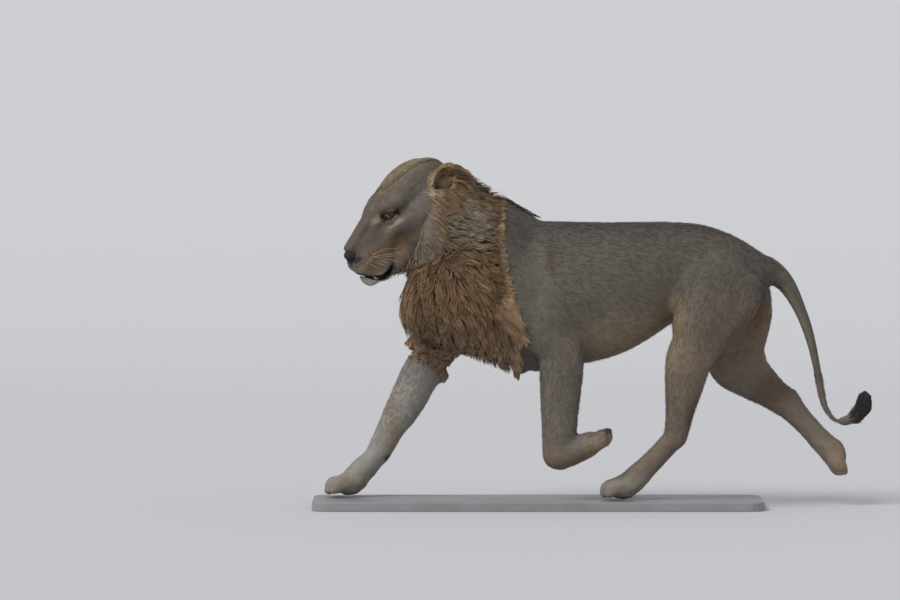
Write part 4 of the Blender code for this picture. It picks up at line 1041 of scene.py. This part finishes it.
def wavy(paths, outs, mine, seed):
    """Gives each clump its own slow wave, sideways along the skin."""
    phase = np.random.default_rng(seed + 3).uniform(0, 2 * math.pi, len(paths))[mine]
    side = np.cross(outs, np.gradient(paths, axis=1))
    side /= np.maximum(np.linalg.norm(side, axis=2, keepdims=True), 1e-9)
    share = np.linspace(0, 1, paths.shape[1])
    return paths + side * (np.sin(share[None] * 6.5 + phase[:, None]) * share[None] ** 0.7 * WAVE)[:, :, None]


def maned(name, keep, count, seed):
    roots = sown(count, lambda p: step(in_mane_at(p), 0.3, 0.7) * keep(p)
                 * step(rear_edge(p[:, 2]) - p[:, 0], 0.003, 0.018), seed)
    chance = np.random.default_rng(seed)
    x, y, z = (roots - (SHIFT, 0, 0)).T
    length = (0.065 + 0.055 * (1 - step(z, 0.62, 0.85))) * chance.uniform(0.75, 1.25, count)
    length = length * ((1 - 0.45 * (1 - step(behind_face(roots[:, 0], z), -0.01, 0.05)))  # shorter at the cheek,
                       * np.interp(rear_edge(z) - x - SHIFT, (0.0, 0.07), (0.36, 1))  # on the shoulder
                       * (1 - 0.62 * step(-outline.outward(roots)[:, 2], 0.05, 0.60)))  # and below
    room = np.maximum(z - np.interp(x + 0.015, *zip(*MANE_LOW)), 0)
    reach = np.minimum(length, room * chance.uniform(0.9, 1.25, count) + 0.014)
    rise = np.maximum(-outline.at(roots), 0.008) + 0.002 - 0.005 * step(z, 0.95, 1.05)
    rise = (rise + 0.009 * (1 - step(x, -0.60, -0.54))) * chance.uniform(0.55, 1.05, count)
    rise = np.minimum(rise, 0.005 + 0.42 * reach)
    paths, outs = combed(outline, roots, mane_way, reach, rise, 6, 0.30, seed, clear=0.004, hang=True)
    paths, mine = clumped(paths, seed)
    paths = wavy(paths, outs, mine, seed)
    clump = np.random.default_rng(seed + 5).uniform(0.70, 1.22, count)[mine]
    grown(name, paths, outs, 0.0054 * chance.uniform(0.7, 1.25, count),
          mane_colour(roots.astype(float)) * clump[:, None], 2.2, 0.34, (0.55, 1.20), seed=seed)


maned("mane_left_high", lambda p: (p[:, 1] < 0) * (p[:, 2] >= MANE_SPLIT), 4700, 21)
maned("mane_left_low", lambda p: (p[:, 1] < 0) * (p[:, 2] < MANE_SPLIT), 5600, 22)
maned("mane_right_high", lambda p: (p[:, 1] >= 0) * (p[:, 2] >= MANE_SPLIT), 4700, 23)
maned("mane_right_low", lambda p: (p[:, 1] >= 0) * (p[:, 2] < MANE_SPLIT), 5600, 24)


# ---- Crest: a narrow dark line of upright hair along the nape, from the mane to the withers, rooted in the
# neck's skin between the two sides of the mane.
def strip(name, form, keep, way, count, seed, length, width, rise, steps, colour=None, pull=0.5, sway=0.2,
          shade=(0.6, 1.15), taper=2.0, vary=0.16, thickness=0.42, settle=0.4):
    """A patch of locks of one kind, grown where keep says on the skin."""
    roots = sown(count, keep, seed)
    chance = np.random.default_rng(seed)
    size = chance.uniform(0.72, 1.25, count)
    length, rise, width = (np.broadcast_to(v(roots) if callable(v) else v, count) for v in (length, rise, width))
    paths, outs = combed(form, roots, way, length * size, rise * chance.uniform(0.55, 1.1, count), steps, sway, seed)
    paths[:, 0] -= outs[:, 0] * ROOT_SINK
    if pull:
        paths, _ = clumped(paths, seed, 0.10, pull)
    tone = colour if colour is None else colour(roots.astype(float)) if callable(colour) else \
        np.tile(paint(*colour), (count, 1))
    grown(name, paths, outs, width * size, tone, taper, thickness, shade, vary, settle, seed)


def straight(*way):
    """A way that is the same everywhere."""
    return lambda points: np.tile(way, (len(points), 1))


strip("mane_crest", outline, lambda p: (p[:, 2] > 0.90) * (p[:, 0] > -0.46 + SHIFT)
      * (p[:, 0] < -0.215 + SHIFT) * (np.abs(p[:, 1] + 0.02 * (p[:, 0] < -0.35)) < 0.013),
      straight(0.80, 0, 0.35), 700, 31, 0.034, 0.0034, lambda r: 0.007 + np.maximum(-outline.at(r), 0), 5,
      (84, 60, 41), 0.4, shade=(0.6, 1.35))

# ---- Tail tuft: a small brush of long black-brown hair that hides the last joints of the tail, laid along
# them in clumps.
strip("tuft_hair", body_form, lambda p: step(along_line("tail", p)[1], 0.835, 0.90)
      * (along_line("tail", p)[0] < 0.03) * (p[:, 0] > 0.75), lie, 1500, 32, 0.028, 0.0036, 0.0100, 5, (34, 28, 24),
      0.55, shade=(0.7, 1.25))


# ---- Face: the shortest coat, which runs back from the nose over the brow and down the cheeks and is longer on
# the crown and the chin. The lips, the lids' rims and the nose leather are bare.
def ear_share(points):
    """1 on the ears."""
    return about(to_ear(to_skull(points)), (0, 0, 0.004), (0.050, 0.034, 0.062), 0.12)


def face_way(points):
    a, s, o = to_skull(points, signed=True).T
    side, flat = np.sign(s), np.ones(len(a))
    cheek = step(np.abs(s), 0.035, 0.08) * step(-o, -0.03, 0.05)
    chin = (step(a, 0.20, 0.25) * step(-o, 0.085, 0.10))[:, None]
    ear, tip = ear_share(points)[:, None], np.array(EAR_PLACE.to_3x3()) @ (0, 0, 1)
    way = np.stack([-flat, side * 0.20, -0.10 - 0.75 * cheek - 0.5 * step(-o, 0.02, 0.07) * step(a, 0.22, 0.28)], 1)
    way = way * (1 - chin) + np.stack([-0.6 * flat, side * 0.1, -0.8 * flat], 1) * chin
    way = way * (1 - ear) + np.stack([tip[0] * flat, side * tip[1], tip[2] * flat], 1) * ear
    return way @ HEAD_TURN.T


def on_face(points):
    """1 where the short coat of the face grows: not on lips, lids, nose leather or in the mouth."""
    q = to_skull(points)
    a, s, o = q.T
    gap, mouth = mouth_gap(a, s, o), (a < 0.345) * (o < -0.04)
    bare = np.maximum((1 - step(np.abs(gap), 0.004, 0.008)) * (a > 0.215) * mouth,
                      (eye_frame(a, s, o)[3] < EYE_FIELD) * (1 - step(lid_gap(a, s, o), 0.003, 0.008)))
    bare = np.maximum(bare, about(q, (0.318, 0, -0.016), (0.034, 0.036, 0.026), 0.1))
    bare = np.maximum(bare, (gap < 0.001) * (a > 0.236) * (a < 0.35) * (o < -0.04))
    return (1 - bare) * (behind_face(*points[:, [0, 2]].T) < 0.030) * (points[:, 2] > 0.70) * (points[:, 0] < -0.36)


def face_length(points):
    q = to_skull(points)
    a, s, o = q.T
    length = np.interp(a, (-0.10, 0.00, 0.10, 0.18, 0.24, 0.32), (0.030, 0.024, 0.013, 0.0085, 0.0065, 0.0055))
    length = np.maximum(length, 0.014 * about(q, (0.30, 0, -0.125), (0.045, 0.05, 0.030)))
    length = length + 0.014 * (step(-o, 0.06, 0.15) * (1 - step(a, 0.10, 0.20)))
    return length * (1 - 0.62 * ear_share(points))


strip("coat_face", whole_skin, on_face, face_way, 10600, 33, face_length,
      lambda r: 0.0013 + 0.10 * face_length(r), lambda r: 0.0006 + 0.065 * face_length(r), 3, pull=0, sway=0.25,
      shade=(1.0, 1.07), taper=1.8, vary=0.06, thickness=0.22, settle=0.85)
strip("crown_hair", head_form, lambda p: on_face(p)
      * about(to_skull(p), (-0.030, 0, 0.095), (0.115, 0.062, 0.060), 0.3) * (1 - ear_share(p)), face_way, 1900, 36,
      0.030, 0.0036, 0.0060, 4, sway=0.45, shade=(0.75, 1.18), vary=0.14, settle=0.45)


# ---- Ruff and ears: longer pale hair behind the cheeks that falls over the mane's front, a fringe on each ear's
# rim, and pale tufts that cross its opening.
def ruff_way(points):
    side = np.sign(to_skull(points, signed=True)[:, 1])
    back = np.stack([np.full(len(side), -0.55), side * 0.12, np.full(len(side), -0.25)], 1) @ HEAD_TURN.T
    return back + np.array((0.15, 0, -0.85))


def on_ruff(points):
    x, y, z = points.T
    q = to_skull(points)
    return (step(behind_face(x, z, 0), -0.020, 0.010) * (behind_face(x, z) < 0.05) * (z > 0.72) * (z < 1.12)
            * (1 - ear_share(points)) * (q[:, 0] > -0.16) * step(q[:, 1], 0.02, 0.05))


def past_cheek(points, low, high):
    return step(behind_face(*points[:, [0, 2]].T), low, high)


def ruff_colour(points):
    """Pale grey by the cheek, then the mane's own colour."""
    far = np.maximum(past_cheek(points, -0.055, -0.005), 0.7 * (1 - step(points[:, 2], 0.80, 0.86)))[:, None]
    sandy = mane_colour(points) * 0.5 + np.array(paint(134, 108, 78)) * 0.5
    return np.array(paint(122, 110, 94)) * (1 - far) + sandy * far


def at_throat(points):
    return step(-to_skull(points)[:, 0], -0.20, -0.13)


def ear_edge(points):
    e = to_ear(to_skull(points))
    rim = ear_rim(e)
    inner = (e[:, 1] > 0.002) * (rim < 0.95) * (np.hypot(e[:, 0] - 0.022, e[:, 2] + 0.02) < 0.034)
    return (about(e, (0, 0, 0), (0.048, 0.030, 0.060), 0.1) > 0.5) * np.maximum(
        step(rim, 0.86, 0.96) * (e[:, 2] > -0.02), inner * 1.0)


def ear_way(points):
    e = to_ear(to_skull(points))
    way = np.stack([e[:, 0] * 0.6, np.full(len(e), 0.010), e[:, 2] + 0.020], 1) @ np.array(EAR_PLACE.to_3x3()).T
    way[:, 1] *= np.sign(to_skull(points, signed=True)[:, 1])
    return way @ HEAD_TURN.T


strip("mane_ruff", whole_skin, on_ruff, ruff_way, 4600, 34,
      lambda r: 0.030 + 0.026 * past_cheek(r, -0.060, 0.0) + 0.018 * (r[:, 2] < 0.86), 0.0044,
      lambda r: 0.004 + 0.009 * past_cheek(r, -0.060, 0.0) + 0.008 * (r[:, 2] < 0.9), 6, ruff_colour, 0.6,
      shade=(0.68, 1.20))
strip("throat_hair", whole_skin,
      lambda p: about(to_skull(p), (0.140, 0, -0.165), (0.085, 0.070, 0.045), 0.25),
      straight(-0.10, 0, -1.0), 640, 37, lambda r: 0.022 + 0.022 * at_throat(r), 0.0042,
      lambda r: 0.014 + 0.018 * at_throat(r), 5, (134, 108, 78), 0.55, shade=(0.7, 1.2))
strip("elbow_hair", whole_skin,
      lambda p: about(p - (SHIFT, 0, 0), (-0.512, 0.112, 0.480), (0.036, 0.05, 0.060), 0.25)
      * (body_form.outward(p.astype(np.float32))[:, 0] > 0.45), straight(0.45, 0, -1.0), 200, 38, 0.026, 0.0036,
      0.006, 5, (124, 98, 70), 0.3, shade=(0.8, 1.2))
strip("ear_tufts", whole_skin,
      lambda p: about(to_skull(p), (-0.018, 0.090, -0.030), (0.034, 0.040, 0.032), 0.3) * (1 - ear_share(p)),
      ruff_way, 420, 39, 0.026, 0.0036, 0.011, 5, (158, 138, 108), 0.6, shade=(0.75, 1.2))
strip("ear_hair", head_form, ear_edge, ear_way, 1000, 35, 0.020, 0.0024, 0.006, 4, (168, 140, 102), 0.3,
      shade=(0.8, 1.15))

# ---- Eyes: glass spheres with a clear bulge in front, an amber iris with darker rays, painted a darker amber
# than its own as painted shade, a round pupil and a dark ring where the iris meets the white, which is brown in a
# lion.
RINGS, TURNS = 30, 40


def eyeball(name, side):
    look = np.array(Matrix.Rotation(math.radians(26), 3, "Z") @ Matrix.Rotation(math.radians(-2), 3, "Y"))
    points, angles = [], []
    for ring in range(RINGS + 1):
        angle = math.pi * ring / RINGS
        bulge = 1 + 0.035 * math.exp(-(angle / 0.42) ** 4)
        for number in range(TURNS if 0 < ring < RINGS else 1):
            turn = 2 * math.pi * number / TURNS
            points.append((math.cos(angle) * bulge, math.sin(angle) * math.cos(turn) * bulge,
                           math.sin(angle) * math.sin(turn) * bulge))
            angles.append((angle, turn))
    local = np.array(points) * EYE_RADIUS @ look.T
    local[:, 1] *= side
    faces = []
    for ring in range(RINGS):
        first = 0 if ring == 0 else 1 + (ring - 1) * TURNS
        after = 1 + ring * TURNS
        for turn in range(TURNS):
            n = (turn + 1) % TURNS
            if ring == 0:
                faces.append((0, after + turn, after + n))
            elif ring == RINGS - 1:
                faces.append((first + turn, after, first + n))
            else:
                faces.append((first + turn, after + turn, after + n, first + n))
    middle = np.array(HEAD_PLACE @ Vector((EYE_AT[0], side * EYE_AT[1], EYE_AT[2])))
    data = mesh_from("eyeball", local @ HEAD_TURN.T + middle, faces if side > 0 else [face[::-1] for face in faces])
    shape = bmesh.new()
    shape.from_mesh(data)
    bmesh.ops.recalc_face_normals(shape, faces=shape.faces)
    shape.to_mesh(data)
    shape.free()
    carried(data, "from_pupil", "FLOAT", [a for a, _ in angles])
    carried(data, "ray", "FLOAT_VECTOR", [(math.cos(b) * 3, math.sin(b) * 3, a * 0.8) for a, b in angles])
    ball = placed("eyeball_" + name, data)
    eye_finish.wear(ball)
    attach(ball, "root")
    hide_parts("eye_" + name)


eye_finish = Finish("eye_glass", Roughness=0.12, Coat_Weight=0.30, Coat_Roughness=0.03, Specular_IOR_Level=0.25)
angle = eye_finish.attribute("from_pupil", out=2)
rays = eye_finish.noise(eye_finish.attribute("ray", out=1), 2.6, 4.0, 0.65)
# painted shade: both ambers of the iris are painted darker than a lit iris, as the eye lies in shade
ringed = eye_finish.mix(rays.step(0.32, 0.68), paint(86, 58, 27), paint(126, 90, 44))
ringed = eye_finish.mix(angle.step(0.24, 0.36), paint(70, 50, 28), ringed)
ringed = eye_finish.mix(angle.step(0.50, 0.60), ringed, paint(34, 22, 14))
ringed = eye_finish.mix(angle.step(0.70, 0.95), ringed, paint(44, 32, 26))
eye_finish.feed("Base Color", eye_finish.mix(angle.step(0.245, 0.265), (0.004, 0.004, 0.004), ringed))
eyeball("left", -1)
eyeball("right", 1)

# ---- Nose: bare pebbled leather, near black, wide above and narrow at the lip, with comma-shaped nostrils and
# a groove down its middle.
nose_form = head_block((0.272, -0.046, -0.062), (0.340, 0.046, 0.020), 0.0011)
leather = Clay(nose_form)
for centre, radii, blend in (((0.304, 0.000, -0.006), (0.020, 0.024, 0.0125), 0.008),
                             ((0.300, 0.024, -0.010), (0.0190, 0.0165, 0.0130), 0.008),
                             ((0.291, 0.035, -0.022), (0.0175, 0.0130, 0.0115), 0.008),
                             ((0.309, 0.000, -0.022), (0.0155, 0.017, 0.016), 0.008),
                             ((0.311, 0.000, -0.036), (0.012, 0.0085, 0.014), 0.006)):
    leather.egg(centre, radii, blend=blend)
leather.rod((((0.302, 0.030, -0.014), 0.0060), ((0.304, 0.024, -0.026), 0.0050), ((0.309, 0.010, -0.036), 0.0045)),
            blend=0.006)
leather.egg((0.3215, 0.0135, -0.0155), (0.0085, 0.0056, 0.0052), blend=0.003, take=True)
leather.rod((((0.3185, 0.017, -0.0165), 0.0036), ((0.3100, 0.0275, -0.0215), 0.0030),
             ((0.294, 0.0390, -0.0290), 0.0022)), blend=0.003, take=True)
leather.rod((((0.3295, 0, -0.008), 0.0012), ((0.3285, 0, -0.052), 0.0018)), blend=0.003, take=True)
nose = placed("nose_leather", mesh_from("nose_leather", *head_meshed(nose_form)))
nose_finish = Finish("nose_leather", Roughness=0.5, Coat_Weight=0.06, Coat_Roughness=0.4, Specular_IOR_Level=0.3)
spot = nose_finish.object_place()
pebble = nose_finish.add("ShaderNodeTexVoronoi", {"feature": "DISTANCE_TO_EDGE"}, spot, Scale=620.0)
soft = nose_finish.noise(spot, 90.0, 3.0)
nose_finish.feed("Base Color", nose_finish.mix(soft.step(0.35, 0.7), paint(14, 12, 11), paint(28, 23, 21)))
nose_finish.feed("Roughness", pebble * 0.9 + 0.36)
nose_finish.bump(pebble.step(0.0, 0.12) + soft * 0.4, 0.5, 0.0006)
nose_finish.wear(nose)
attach(nose, "root")
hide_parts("nose")

# ---- Teeth: the lower canines, smooth ivory with faint darker streaks along them. They keep the shape of the
# solids, set in the lower jaw behind the lip.
tooth_finish = Finish("tooth_ivory", Roughness=0.28, Coat_Weight=0.4, Coat_Roughness=0.15)
spot = tooth_finish.add("ShaderNodeMapping", {"vector_type": "POINT"}, tooth_finish.object_place(),
                        Scale=(160, 160, 40))  # drawn out along the tooth
grain = tooth_finish.noise(spot, 1.0)
tooth_finish.feed("Base Color", tooth_finish.mix(grain.step(0.3, 0.7), paint(206, 192, 160), paint(228, 220, 198)))
tooth_finish.wear(nodes["canine_left"])
tooth_finish.wear(nodes["canine_right"])

# ---- Whiskers: stiff pale hairs from the rows of dark spots on each whisker pad, and two over each brow, each
# rooted in the skin and curving down a little under its own weight.
whisker_finish = Finish("whisker", Roughness=0.35)
glint = whisker_finish.noise(whisker_finish.object_place(), 60.0, 2.0)
whisker_finish.feed("Base Color", whisker_finish.mix(glint, paint(190, 182, 168), paint(226, 221, 210)))
roots, tips = [], []
chance = np.random.default_rng(41)
for side in (-1, 1):
    for row in range(4):
        for col in range(5 - row % 2):
            length = 0.040 + 0.009 * col + chance.uniform(-0.012, 0.012)
            roots.append((0.294 - 0.0125 * col - 0.004 * row, side * 0.060, -0.036 - 0.0115 * row - 0.003 * col))
            tips.append((-0.45 - 0.16 * col + chance.uniform(-0.15, 0.15), side * (0.75 + chance.uniform(-0.2, 0.2)),
                         -0.15 - 0.14 * row + chance.uniform(-0.12, 0.12), length))
    for col in range(2):
        roots.append((0.160 - 0.02 * col, side * (0.045 + 0.015 * col), 0.060))
        tips.append((-0.4, side * 0.35, 0.8, 0.035))
roots = (np.array(roots) @ HEAD_TURN.T + HEAD_MIDDLE).astype(np.float32)
for _ in range(12):  # each root slides in or out to the skin
    roots = (roots - (head_form.at(roots) + 0.0015)[:, None] * head_form.outward(roots)).astype(np.float32)
ways, lengths = unit(np.array(tips)[:, :3]) @ HEAD_TURN.T, np.array(tips)[:, 3]
shares = np.linspace(0, 1, 7)
paths = roots[:, None] + ways[:, None] * (shares[None, :, None] * lengths[:, None, None])
paths[:, :, 2] -= (shares ** 2)[None] * lengths[:, None] * 0.30
grown("whiskers", paths, np.repeat(head_form.outward(roots)[:, None], 7, 1), np.full(len(roots), 0.0006),
      np.tile(paint(210, 204, 192), (len(roots), 1)), 3.0, 1.0, (1.0, 1.0), 0.02, seed=41, sides=4,
      finish=whisker_finish)

# ---- Stand: the plain plate under the paws, painted grey in a satin finish, with a fine grain and a faint
# cloudiness in the paint.
stand_finish = Finish("stand_paint", Roughness=0.5)
spot = stand_finish.object_place()
cloud = stand_finish.noise(spot, 5.0, 4.0, 0.6)
fine = stand_finish.noise(spot, 420.0, 2.0, 0.5)
stand_finish.feed("Base Color", stand_finish.mix(cloud.step(0.3, 0.7), paint(126, 127, 128), paint(138, 139, 141)))
stand_finish.feed("Roughness", fine * 0.2 + 0.42)
stand_finish.bump(fine, 0.15, 0.0004)
stand_finish.wear(nodes["stand_base"])
